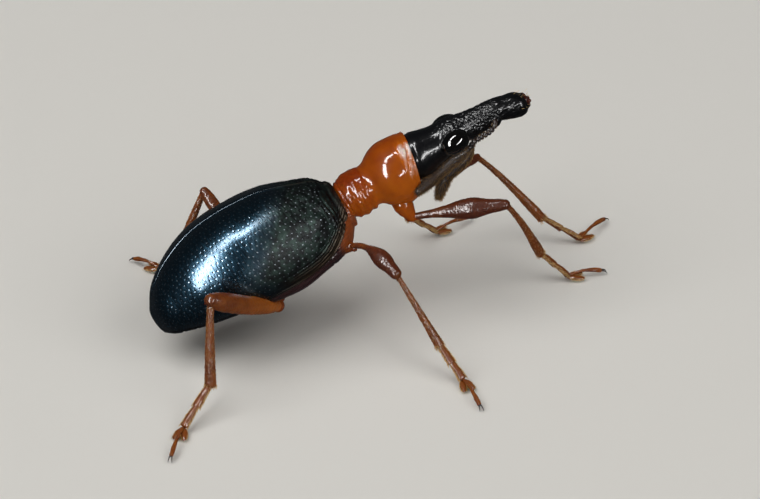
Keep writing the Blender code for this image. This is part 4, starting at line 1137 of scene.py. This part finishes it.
def ball(centre, radii, stations=40, sides=56, tilt=0.0):
    """Ball squashed to three radii: rings across x, each the sine of its angle from the front,
    nodding down towards +x by the tilt."""
    turn = np.linspace(0.0, math.pi, stations + 2)[1:-1][:, None]
    angle = np.linspace(0.0, FULL_TURN, sides, endpoint=False)[None, :]
    local = np.stack([-radii[0] * np.cos(turn) + 0.0 * angle, radii[1] * np.sin(turn) * np.sin(angle),
                      radii[2] * np.sin(turn) * np.cos(angle)], axis=-1)
    nod = np.array(Matrix.Rotation(math.radians(tilt), 3, "Y"))
    return local @ nod.T + np.array(centre)


# Mouth: how far ahead of its centre a mandible is put, lower and upper lip by their shift ahead
# of and above that centre and their radii, and by how many degrees all of them nod
MANDIBLE_SHIFT = 0.005
LIPS = (((-0.01, -0.040), (0.045, 0.040, 0.025)), ((-0.01, 0.050), (0.048, 0.060, 0.030)))
MOUTH_TILT = 14.0


def mouth_shape():
    """Mandibles and both lips at the snout's tip, each a squashed ball."""
    x, y, z = MANDIBLE_CENTRE
    pieces = [((x + MANDIBLE_SHIFT, side * y, z), MANDIBLE_RADII) for side in (-1, 1)]
    pieces += [((x + ahead, 0.0, z + above), radii) for (ahead, above), radii in LIPS]
    balls = [ball(centre, radii, 18, 24, MOUTH_TILT) for centre, radii in pieces]
    return joined([closed_shape(rings, rings.copy(), 0.9) for rings in balls])


def place_body(finishes):
    """Wing cases, underside, neck, prothorax, head, mouth and eyes."""
    for side, word in ((-1, "right"), (1, "left")):
        shape = elytron_shape(side)
        shape = shape._replace(points=body_to_model(shape.points))
        place_piece("wing_case_" + word, shape, finishes["elytra"], ["elytron_" + word])
        x, y, z = EYE_CENTRE
        rings = ball((x, side * y, z), EYE_RADII)
        eye = closed_shape(head_to_model(rings), rings)
        place_piece("eye_dome_" + word, eye, finishes["eye"], ["eye_" + word])
    for name, shape, finish, slot, nodes, put in (
            ("underside", underside_shape(), "underside", "sternum",
             ["mesothorax", "metathorax", "abdomen"], body_to_model),
            ("forebody", prothorax_shape(), "prothorax", "prothorax", ["prothorax"], body_to_model),
            ("head_and_snout", head_shape(), "head", "head", ["head", "rostrum"], head_to_model),
            ("mouth", mouth_shape(), "head", "head", [], head_to_model)):
        shape = shape._replace(points=put(shape.points))
        place_piece(name, shape, finishes[finish], nodes)
    place_piece("neck", neck_shape(), finishes["sternum"])
    snout_end = make_track(head_to_model(np.array(SNOUT_END_ROUTE)), SNOUT_END_RADII, UP)
    place_coat("snout_hairs", [bristles(snout_end, HAIRS["snout"])], finishes["fringe"])


# Feelers

# Mesh of the feelers: rings to a bead and round the stem, rings along and round the club
BEAD_RINGS = 24
STEM_SIDES = 22
CLUB_RINGS = 60
CLUB_SIDES = 40
# Length of the first bead, where the stem's length is the number of its beads
FIRST_BEAD = 2.0
# Power of the sine that rounds a bead, and how far its ends are widened and its middle slimmed
BEAD_ROUND = 0.80
BEAD_EVENED = 0.10
STEM_ENDS = (0.5, 0.5)
CLUB_GRAIN = Grain(0.003, 0.035, 61)
# How much paler the hairs of the second feeler's club are
GOLD_STEP = 0.35


def stem_track(route):
    """Track of a feeler's stem. Its radius grows from the waist to the bead and back with the
    sine of half a turn to each bead, to the power 0.8, and is evened out by a cosine."""
    points = smooth_route(route, BEAD_RINGS * FUNICLE_BEADS + 1)
    place = np.linspace(0.0, FUNICLE_BEADS, len(points))
    others = (FUNICLE_BEADS - 1) / (FUNICLE_BEADS - FIRST_BEAD)
    place = np.where(place < FIRST_BEAD, place / FIRST_BEAD, 1.0 + (place - FIRST_BEAD) * others)
    swell = np.abs(np.sin(math.pi * place)) ** BEAD_ROUND
    evened = 1.0 + BEAD_EVENED * np.cos(FULL_TURN * place)
    radii = (BEAD_WAIST + (BEAD_RADIUS - BEAD_WAIST) * swell) * evened
    return make_track(body_to_model(points), radii, UP, rounding=STEM_ENDS)


def place_antennae(finishes):
    """Beaded stem and long hairy club of each feeler, folded back under the head."""
    for number, (word, routes) in enumerate(ANTENNA_ROUTES.items()):
        stem = stem_track(routes["funicle"])
        place_piece("feeler_stem_" + word, skin(stem, STEM_SIDES), finishes["feeler"],
                    ["antenna_%s_funicle" % word])
        radii = CLUB_RADIUS * smooth(np.linspace(0.0, 1.0, CLUB_RINGS), CLUB_SHAPE)
        club = make_track(body_to_model(smooth_route(routes["club"], CLUB_RINGS)), radii, UP)
        club_skin = skin(club, CLUB_SIDES, grained([CLUB_GRAIN], number))
        place_piece("feeler_club_" + word, club_skin, finishes["club"],
                    ["antenna_%s_club" % word])
        coat = [bristles(club, HAIRS[kind], number, paler=GOLD_STEP * number)
                for kind in ("club_down", "club_bristle")]
        place_coat("feeler_hairs_" + word, coat, finishes["club_hair"])
        stem_coat = [bristles(stem, HAIRS["stem"], number)]
        place_coat("feeler_stem_hairs_" + word, stem_coat, finishes["club_hair"])


# Legs

# First of the seeds of a leg's noise and hairs, and the step from one leg to the next
LEG_SEED = 100
LEG_SEED_STEP = 20
# Mesh and section of the femur and the tibia: rings, points round, flatness, rounding of the ends
FEMUR = Limb(110, 64, 0.96, (1.0, 0.90))
TIBIA = Limb(90, 52, 0.90, (1.0, 0.70))
FEMUR_GRAINS = (Grain(0.0026, 0.030, 2, (1.0, 0.45, 0.45)), Grain(0.0010, 0.026, 3))
FEMUR_STAIN_PLACES = (0.0, 0.35, 0.60, 0.85, 1.0)
FEMUR_STAIN_ENDS = (-0.02, 1.02)
# Tibia: power that moves its bend towards the knee, its notches and noise, how far the notched
# skin is sunk, and its stain
TIBIA_BENT_EARLY = 0.7
TIBIA_NOTCHES = Pits(0.045, 15.0, 0.28, 0.0075)
TIBIA_GRAIN = Grain(0.0035, 0.032, 4, (0.6, 1.0, 1.0))
TIBIA_SUNK = 0.003
TIBIA_STAIN = 0.52
# Coxa: shape of its cone, noise, stain at the hip; and the ball at the hip, by its start and end
# along the femur, how much wider it is than the femur's base, and how far it narrows
COXA_RINGS = 30
COXA_SIDES = 48
COXA_SHAPE = ((0.0, 1.0), (0.25, 1.08), (0.50, 1.0), (0.75, 0.78), (1.0, 0.54))
COXA_GRAIN = Grain(0.003, 0.08, 0, (1.0, 0.5, 0.5))
HIP_STAIN = 0.6
HIP_BALL_RINGS = 12
HIP_BALL_SIDES = 36
HIP_BALL_REACH = (-0.03, 0.10)
HIP_BALL_WIDER = 0.012
HIP_BALL_END = 0.80


def arched(start, end, count, bow=(0.0, 0.0, 0.0), peak=0.5):
    """Points from start to end, pushed aside by the bow times the sine of half a turn, whose
    highest point lies at the peak's share of the way."""
    share = np.linspace(0.0, 1.0, count)[:, None]
    bent = share ** (math.log(0.5) / math.log(peak))
    return start + (end - start) * share + np.sin(math.pi * bent) * np.array(bow)


def femur_skin(pair, thick, hip, knee, bow, plane, seed):
    """Femur: slender base, a club in its outer half and a blunt knee, with cross wrinkles. Its
    radius is a smooth curve through the knots of its pair."""
    radii = smooth(np.linspace(0.0, 1.0, FEMUR.rings), pair["femur"]) * thick
    route = arched(hip, knee, FEMUR.rings, bow, ARCH_PEAK)
    track = make_track(route, radii, plane, FEMUR.flatness, FEMUR.ends)
    knots = list(zip(FEMUR_STAIN_PLACES, pair["stain"]))
    stain = smooth(np.linspace(*FEMUR_STAIN_ENDS, len(track.radii)), knots)[:, None]
    return track, skin(track, FEMUR.sides, grained(FEMUR_GRAINS, seed), stain)


def tibia_skin(pair, knee, ankle, plane, femur_head, seed):
    """Tibia: it leaves the knee bent down, by the sine of half a turn of its share to the power
    0.7, widens towards the ankle as a smooth curve and bears rows of notches."""
    share = np.linspace(0.0, 1.0, TIBIA.rings)
    bend = pair["bend"] * np.sin(math.pi * share ** TIBIA_BENT_EARLY)
    route = arched(knee, ankle, TIBIA.rings) + bend[:, None] * femur_head
    track = make_track(route, smooth(share, pair["tibia"]), plane, TIBIA.flatness, TIBIA.ends)

    def notches(local, angle):
        rows = angle / FULL_TURN * TIBIA_NOTCHES.rows
        cut = pits(local[..., 0] / TIBIA_NOTCHES.spacing, rows, TIBIA_NOTCHES.radius)
        return TIBIA_NOTCHES.depth * cut - TIBIA_SUNK + relief(local, [TIBIA_GRAIN], seed)

    return track, skin(track, TIBIA.sides, notches, TIBIA_STAIN)


# Lobes and felt: rings, start and reach of the half turn that shapes them, its power, power of
# the droop, and rounding of the ends
PETAL_RINGS = 26
PETAL_TURN = (0.06, 0.86)
PETAL_ROUND = 0.7
PETAL_DROOP = 1.5
PETAL_ENDS = (0.4, 0.5)


def petal(root, heading, size, level, droop):
    """Lobe like a flat drop: along the heading its width and thickness follow the sine of the
    share of its length to the power 0.7, and it sinks by the droop towards its tip."""
    length, half_width, thickness = size
    share = np.linspace(0.0, 1.0, PETAL_RINGS)
    points = root + heading * (share * length)[:, None]
    points = np.column_stack([points[:, :2], level - droop * share ** PETAL_DROOP])
    swell = np.sin(math.pi * (PETAL_TURN[0] + PETAL_TURN[1] * share))
    radii = half_width * np.maximum(swell, 0.0) ** PETAL_ROUND
    return make_track(points, radii, np.cross(UP, heading), thickness / half_width, PETAL_ENDS)


# Foot: rise of the joint above the lobes, arch of the first two segments, their outline as
# (share, how much of the base radius, how much of the end radius), flatness and ends
SEGMENT_RINGS = 30
JOINT_RISE = 0.012
SEGMENT_ARCH = 0.012
SEGMENT_SHAPE = ((0.0, 1.0, 0.0), (0.15, 1.1, 0.0), (0.75, 0.0, 0.93), (1.0, 0.0, 1.0))
SEGMENT_FLATNESS = 0.80
SEGMENT_ENDS = (0.9, 0.50)
# Lobes: how far ahead of the joint, or behind it below zero, and aside they start, and their droop
LOBE_START = (-0.03, 0.020)
LOBE_DROOP = 0.026
# Felt: how far out it starts, its share of a lobe's length and width, and its gap above the floor
FELT_START = 0.045
FELT_SHARES = (0.82, 0.90)
FELT_GAP = 0.004
# Claw segment: how far ahead of and above the joint it starts, its arch, flatness and ends
CLAW_SEGMENT_START = 0.01
CLAW_SEGMENT_RISE = 0.02
CLAW_SEGMENT_ARCH = 0.045
CLAW_SEGMENT_FLATNESS = 0.9
CLAW_SEGMENT_ENDS = (1.0, 0.5)
# Claws: points, share of a quarter turn that they hook round, level they end on, how far from
# the middle they start, power of their taper, and radius of their tip
CLAW_RINGS = 16
CLAW_TURN = 0.96
CLAW_TIP_LEVEL = 0.014
CLAW_APART = 0.012
CLAW_TAPER = 0.75
CLAW_TIP_RADIUS = 0.002


def foot_shapes(ankle, pad, claws):
    """Tracks of a foot: two conical segments, two lobes with felt below, the claw segment, claws.

    Segments are straight but for an arch of the sine of half a turn. A claw is a quarter of an
    ellipse: out by the sine and down by one minus the cosine of its angle.
    """
    heading = unit(claws - pad)
    across = np.array([-heading[1], heading[0], 0.0])
    joint = pad - heading * LOBE_BASE + [0.0, 0.0, LOBE_LEVEL + JOINT_RISE]
    share = np.linspace(0.0, 1.0, SEGMENT_RINGS)
    tracks = {"segments": [], "lobes": [], "felt": [], "claws": []}
    for first, last, thin, thick in TARSAL_SEGMENTS:
        points = ankle + (joint - ankle) * (first + (last - first) * share)[:, None]
        points[:, 2] += SEGMENT_ARCH * np.sin(math.pi * share)
        radii = smooth(share, [(at, thin * base + thick * end) for at, base, end in SEGMENT_SHAPE])
        track = make_track(points, radii, across, SEGMENT_FLATNESS, SEGMENT_ENDS)
        tracks["segments"].append(track)

    lobe_size = (LOBE_LENGTH, LOBE_HALF_WIDTH, LOBE_THICKNESS)
    felt_size = (LOBE_LENGTH * FELT_SHARES[0], LOBE_HALF_WIDTH * FELT_SHARES[1], PAD_HEIGHT)
    for side in (-1.0, 1.0):
        splay = unit(heading + across * side * LOBE_SPLAY)
        root = joint + heading * LOBE_START[0] + across * side * LOBE_START[1]
        tracks["lobes"].append(petal(root, splay, lobe_size, LOBE_LEVEL, LOBE_DROOP))
        felt_root = root + splay * FELT_START
        tracks["felt"].append(petal(felt_root, splay, felt_size, PAD_HEIGHT + FELT_GAP, 0.0))

    root = joint + heading * CLAW_SEGMENT_START
    points = root + (claws - root) * share[:, None]
    start = joint[2] + CLAW_SEGMENT_RISE
    level = start + (CLAW_LEVEL - start) * share + CLAW_SEGMENT_ARCH * np.sin(math.pi * share)
    points = np.column_stack([points[:, :2], level])
    tracks["segments"].append(make_track(points, smooth(share, CLAW_SEGMENT_RADII), across,
                                         CLAW_SEGMENT_FLATNESS, CLAW_SEGMENT_ENDS))

    tip = np.array([claws[0], claws[1], CLAW_LEVEL])
    turn = np.linspace(0.0, QUARTER_TURN * CLAW_TURN, CLAW_RINGS)[:, None]
    drop = np.array([0.0, 0.0, CLAW_LEVEL - CLAW_TIP_LEVEL])
    radii = CLAW_RADIUS * np.linspace(1.0, 0.0, CLAW_RINGS) ** CLAW_TAPER + CLAW_TIP_RADIUS
    for side in (-1.0, 1.0):
        out = unit(heading + across * side * CLAW_SPLAY)
        hook = out * CLAW_LENGTH * np.sin(turn) - drop * (1.0 - np.cos(turn))
        hook = tip + across * side * CLAW_APART + hook
        tracks["claws"].append(make_track(hook, radii, np.cross(UP, out)))
    return tracks


# Points round each part of the foot, and its noise and stain
SEGMENT_SIDES = 32
LOBE_SIDES = 30
FELT_SIDES = 26
CLAW_SIDES = 12
FOOT_GRAIN = Grain(0.0035, 0.035, 6, (0.3, 1.0, 1.0))
FOOT_STAIN = 0.50
CLAW_STAIN = 0.8
# Angles round a segment or lobe between which a fringe stands, along both its edges
EDGES = ((-0.55, 0.55), (math.pi - 0.55, math.pi + 0.55))


def hip_shape(pair, root, hip, femur_head, plane, seed):
    """Coxa, a straight cone whose radius is a smooth curve through its shape, and the ball between
    it and the femur, which narrows evenly."""
    radii = pair["coxa"] * smooth(np.linspace(0.0, 1.0, COXA_RINGS), COXA_SHAPE)
    coxa = make_track(arched(root, hip, COXA_RINGS), radii, plane)
    stain = np.linspace(0.0, HIP_STAIN, len(coxa.radii))[:, None]
    first, last = [hip + femur_head * reach for reach in HIP_BALL_REACH]
    radii = np.linspace(1.0, HIP_BALL_END, HIP_BALL_RINGS) * (pair["femur"][0][1] + HIP_BALL_WIDER)
    socket = make_track(arched(first, last, HIP_BALL_RINGS), radii, plane)
    return joined([skin(coxa, COXA_SIDES, grained([COXA_GRAIN], seed), stain),
                   skin(socket, HIP_BALL_SIDES, None, HIP_STAIN)])


def place_foot(name, foot, finishes, seed):
    """Segments and lobes of a foot as one piece, and its felt and its claws."""
    height = grained([FOOT_GRAIN], seed)
    shapes = [skin(track, SEGMENT_SIDES, height, FOOT_STAIN) for track in foot["segments"]]
    shapes += [skin(track, LOBE_SIDES, height, FOOT_STAIN) for track in foot["lobes"]]
    place_piece(name + "_foot", joined(shapes), finishes["leg"], [name + "_tarsus"])
    felt = joined([skin(track, FELT_SIDES) for track in foot["felt"]])
    place_piece(name + "_felt", felt, finishes["felt"])
    claws = joined([skin(track, CLAW_SIDES, None, CLAW_STAIN) for track in foot["claws"]])
    place_piece(name + "_claws", claws, finishes["claw"])


def place_leg_hairs(name, femur, tibia, foot, finishes, seed):
    """Fine hairs of the femur, tibia and foot, and the golden fringes of the ankle and foot."""
    fine = [bristles(femur, HAIRS["femur"], seed), bristles(tibia, HAIRS["tibia"], seed),
            bristles(foot["segments"][2], HAIRS["claw_segment"], seed)]
    fringe = [bristles(tibia, HAIRS["ankle"], seed)]
    for i, track in enumerate(foot["segments"][:2]):
        fringe += [bristles(track, HAIRS["foot_fringe"], seed + 2 * i + j, edge)
                   for j, edge in enumerate(EDGES)]
        fine.append(bristles(track, HAIRS["foot"], seed + i))
    for i, track in enumerate(foot["lobes"]):
        fringe += [bristles(track, HAIRS["lobe_fringe"], seed + 2 * i + j, edge)
                   for j, edge in enumerate(EDGES)]
    place_coat(name + "_hairs", fine, finishes["leg_hair"])
    place_coat(name + "_fringes", fringe, finishes["fringe"])


def place_leg(name, stance, number, finishes):
    """Coxa, trochanter, femur, tibia, foot and hairs of one leg."""
    _, pair_word, word = name.split("_")
    pair = LEG_PAIRS[pair_word]
    side = -1.0 if word == "right" else 1.0
    root, hip = [np.array(BODY @ Vector((x, -side * y, z)))
                 for x, y, z in (pair["root"], pair["hip"])]
    shift = np.array(STANCE_CENTRE)
    knee, ankle = [np.array(stance[key]) - shift for key in ("knee", "ankle")]
    pad, claws = [np.array([*stance[key], 0.0]) - shift for key in ("pad", "claws")]
    plane = unit(np.cross(knee - hip, ankle - knee))
    femur_head = unit(knee - hip)
    seed = LEG_SEED + LEG_SEED_STEP * number

    finish = finishes["prothorax" if pair_word == "front" else "sternum"]
    place_piece(name + "_hip", hip_shape(pair, root, hip, femur_head, plane, seed), finish,
                [name + "_coxa"])
    thick = SLENDER_FEMORA.get(name, 1.0)
    femur, femur_shape = femur_skin(pair, thick, hip, knee, stance["bow"], plane, seed)
    place_piece(name + "_thigh", femur_shape, finishes["leg"], [name + "_femur"])
    tibia, tibia_shape = tibia_skin(pair, knee, ankle, plane, femur_head, seed)
    place_piece(name + "_shin", tibia_shape, finishes["leg"], [name + "_tibia"])
    foot = foot_shapes(ankle, pad, claws)
    place_foot(name, foot, finishes, seed)
    place_leg_hairs(name, femur, tibia, foot, finishes, seed)


# Stage

# Floor: half its size in metres, and its level in millimetres, just under the feet
FLOOR_REACH = 0.6
FLOOR_LEVEL = -0.004


def place_stage():
    """Plain pale floor, its top just under the feet."""
    mesh = bpy.data.meshes.new("floor")
    corners = [(x * FLOOR_REACH, y * FLOOR_REACH, FLOOR_LEVEL * MM)
               for x, y in ((-1, -1), (1, -1), (1, 1), (-1, 1))]
    mesh.from_pydata(corners, [], [(0, 1, 2, 3)])
    floor = bpy.data.objects.new("floor", mesh)
    bpy.context.scene.collection.objects.link(floor)
    material, _, _ = new_finish("matt_card", Base_Color=linear("EEEBE4"), Roughness=0.9,
                                Specular_IOR_Level=0.0)
    mesh.materials.append(material)
    floor.visible_glossy = False


def camera_axes():
    """Right, up and view directions of the camera, tilted about the view direction."""
    yaw, rise, tilt = (math.radians(a) for a in (CAMERA_YAW, CAMERA_ELEVATION, CAMERA_TILT))
    right = Vector((math.cos(yaw), -math.sin(yaw), 0.0))
    up = Vector((math.sin(yaw) * math.sin(rise), math.cos(yaw) * math.sin(rise), math.cos(rise)))
    view = Vector((math.sin(yaw) * math.cos(rise), math.cos(yaw) * math.cos(rise), -math.sin(rise)))
    return (right * math.cos(tilt) - up * math.sin(tilt),
            right * math.sin(tilt) + up * math.cos(tilt), view)


def place_camera():
    """Long lens that keeps the prothorax on its pixel of the photograph, at the photograph's scale."""
    right, up, view = camera_axes()
    aside = (FRAME_PIXELS[0] / 2 - PROTHORAX_PIXEL[0]) * PIXEL_MM
    above = (PROTHORAX_PIXEL[1] - FRAME_PIXELS[1] / 2) * PIXEL_MM
    target = BODY.translation + right * aside + up * above
    data = bpy.data.cameras.new("camera")
    data.sensor_width = SENSOR_MM
    data.lens = SENSOR_MM * CAMERA_DISTANCE / (FRAME_PIXELS[0] * PIXEL_MM)
    data.clip_start, data.clip_end = CLIP_METRES
    camera = bpy.data.objects.new("camera", data)
    bpy.context.scene.collection.objects.link(camera)
    turn = Matrix((right, up, -view)).transposed()
    camera.matrix_world = Matrix.Translation((target - view * CAMERA_DISTANCE) * MM) @ turn.to_4x4()
    bpy.context.scene.camera = camera
    return target * MM


LIGHT_DISTANCE = 0.12


def light_direction(aside, above):
    """Direction from the animal at angles to the right of and above the way to the camera."""
    right, up, view = camera_axes()
    a, b = math.radians(aside), math.radians(above)
    return (right * math.sin(a) - view * math.cos(a)) * math.cos(b) + up * math.sin(b)


def place_strip(name, target, start, end, width, brightness, use):
    """Rectangular light whose long middle line runs from one direction to another.

    Width is in degrees. Its power is its brightness times pi times its area. Use tells whether
    it is seen as a gleam or lights up matt surfaces.
    """
    first, last = light_direction(*start), light_direction(*end)
    away = (first + last).normalized()
    along = (last - first).normalized()
    data = bpy.data.lights.new(name, "AREA")
    data.shape = "RECTANGLE"
    data.size = 2.0 * LIGHT_DISTANCE * math.tan(math.radians(width) / 2.0)
    data.size_y = 2.0 * LIGHT_DISTANCE * math.tan(first.angle(last) / 2.0)
    data.energy = brightness * math.pi * data.size * data.size_y
    light = bpy.data.objects.new(name, data)
    bpy.context.scene.collection.objects.link(light)
    turn = Matrix((along.cross(away), along, away)).transposed()
    light.matrix_world = Matrix.Translation(target + away * LIGHT_DISTANCE) @ turn.to_4x4()
    light.visible_diffuse = use == "shade"
    light.visible_glossy = use == "gleam"


def place_arc(name, target, knots, brightness, count=7):
    """Curved gleam: short strips end to end along a smooth line of (aside, above, width) knots."""
    route = smooth_route(knots, count + 1)
    for i, (start, end) in enumerate(zip(route[:-1], route[1:])):
        width = 0.5 * (start[2] + end[2])
        place_strip("%s_%d" % (name, i), target, start[:2], end[:2], width, brightness, "gleam")


# Curved gleams: brightness, and knots of angle aside, angle above and width, in degrees
GLEAMS = {
    "gleam_low_left": (25.0, ((-37, 19, 9), (-36, 6, 13), (-33, -10, 12), (-27, -27, 6))),
    "gleam_high_left": (25.0, ((-35, 25, 8), (-32, 38, 7), (-23, 49, 6), (-11, 56, 4))),
    "gleam_right": (20.0, ((43, 18, 4), (41, 6, 7), (33, -10, 7), (20, -25, 4))),
}
# Soft lights: first and last direction as angles aside and above, width, and brightness
SOFT_LIGHTS = {
    "soft_left": ((-45.0, 12.0), (-20.0, 62.0), 55.0, 2.2),
    "soft_right": ((40.0, 0.0), (30.0, 40.0), 40.0, 1.9),
}
SURROUND_STRENGTH = 0.035


def place_lights(target):
    """Curved strips beside the camera for the gleams, broad soft lights for the shading and the
    soft shadow, and a dim even surround."""
    for name, (brightness, knots) in GLEAMS.items():
        place_arc(name, target, knots, brightness)
    for name, settings in SOFT_LIGHTS.items():
        place_strip(name, target, *settings, "shade")
    world = bpy.data.worlds.new("surround")
    world.use_nodes = True
    background = world.node_tree.nodes["Background"]
    background.inputs["Color"].default_value = linear("E8EEF4")
    background.inputs["Strength"].default_value = SURROUND_STRENGTH
    bpy.context.scene.world = world
    bpy.context.scene.view_settings.view_transform = "Standard"


# Clear cuticles: main, deep and pale colour, height of the wrinkles in millimetres, roughness,
# gloss and, where it is not the usual one, haze
CLEAR_CUTICLES = {
    # Prothorax: its deep colour is also painted shade on the top, and its near-white pale colour partly
    # painted highlight on the collar's crumples
    "prothorax": ("CE6A0C", "8E3404", "F8E4DA", 0.0010, 0.35, 1.0),
    "sternum": ("B05A16", "6A2C10", "D8A080", 0.004, 0.35, 0.7),
    "leg": ("BC6A20", "5C2A16", "C08060", 0.003, 0.38, 0.8, 0.15),
    "claw": ("3A1A0E", "180C08", "6A4030", 0.001, 0.45, 0.2),
    "feeler": ("2A1A16", "120B0A", "5A4A40", 0.003, 0.40, 0.4),
    "club": ("3A261A", "1E120C", "6A5440", 0.004, 0.55, 0.2),
}


def main():
    """Make the finishes, the weevil, the floor, the camera and the lights."""
    finishes = {key: clear_cuticle(key + "_cuticle", *look) for key, look in CLEAR_CUTICLES.items()}
    finishes.update({
        "elytra": elytra_cuticle(),
        "head": head_cuticle(),
        "eye": eye_lens(),
        "underside": underside_cuticle(),
        "club_hair": bristle("club_hair", "38241A", "B08850"),
        "leg_hair": bristle("leg_hair", "6A3A20", "D9A870"),
        "fringe": bristle("fringe_hair", "B8762C", "F2CE86"),
        "felt": pad_felt(),
    })
    place_body(finishes)
    place_antennae(finishes)
    for number, (name, stance) in enumerate(STANCE.items()):
        place_leg(name, stance, number, finishes)
    place_stage()
    place_lights(place_camera())


main()
bpy.context.view_layer.update()
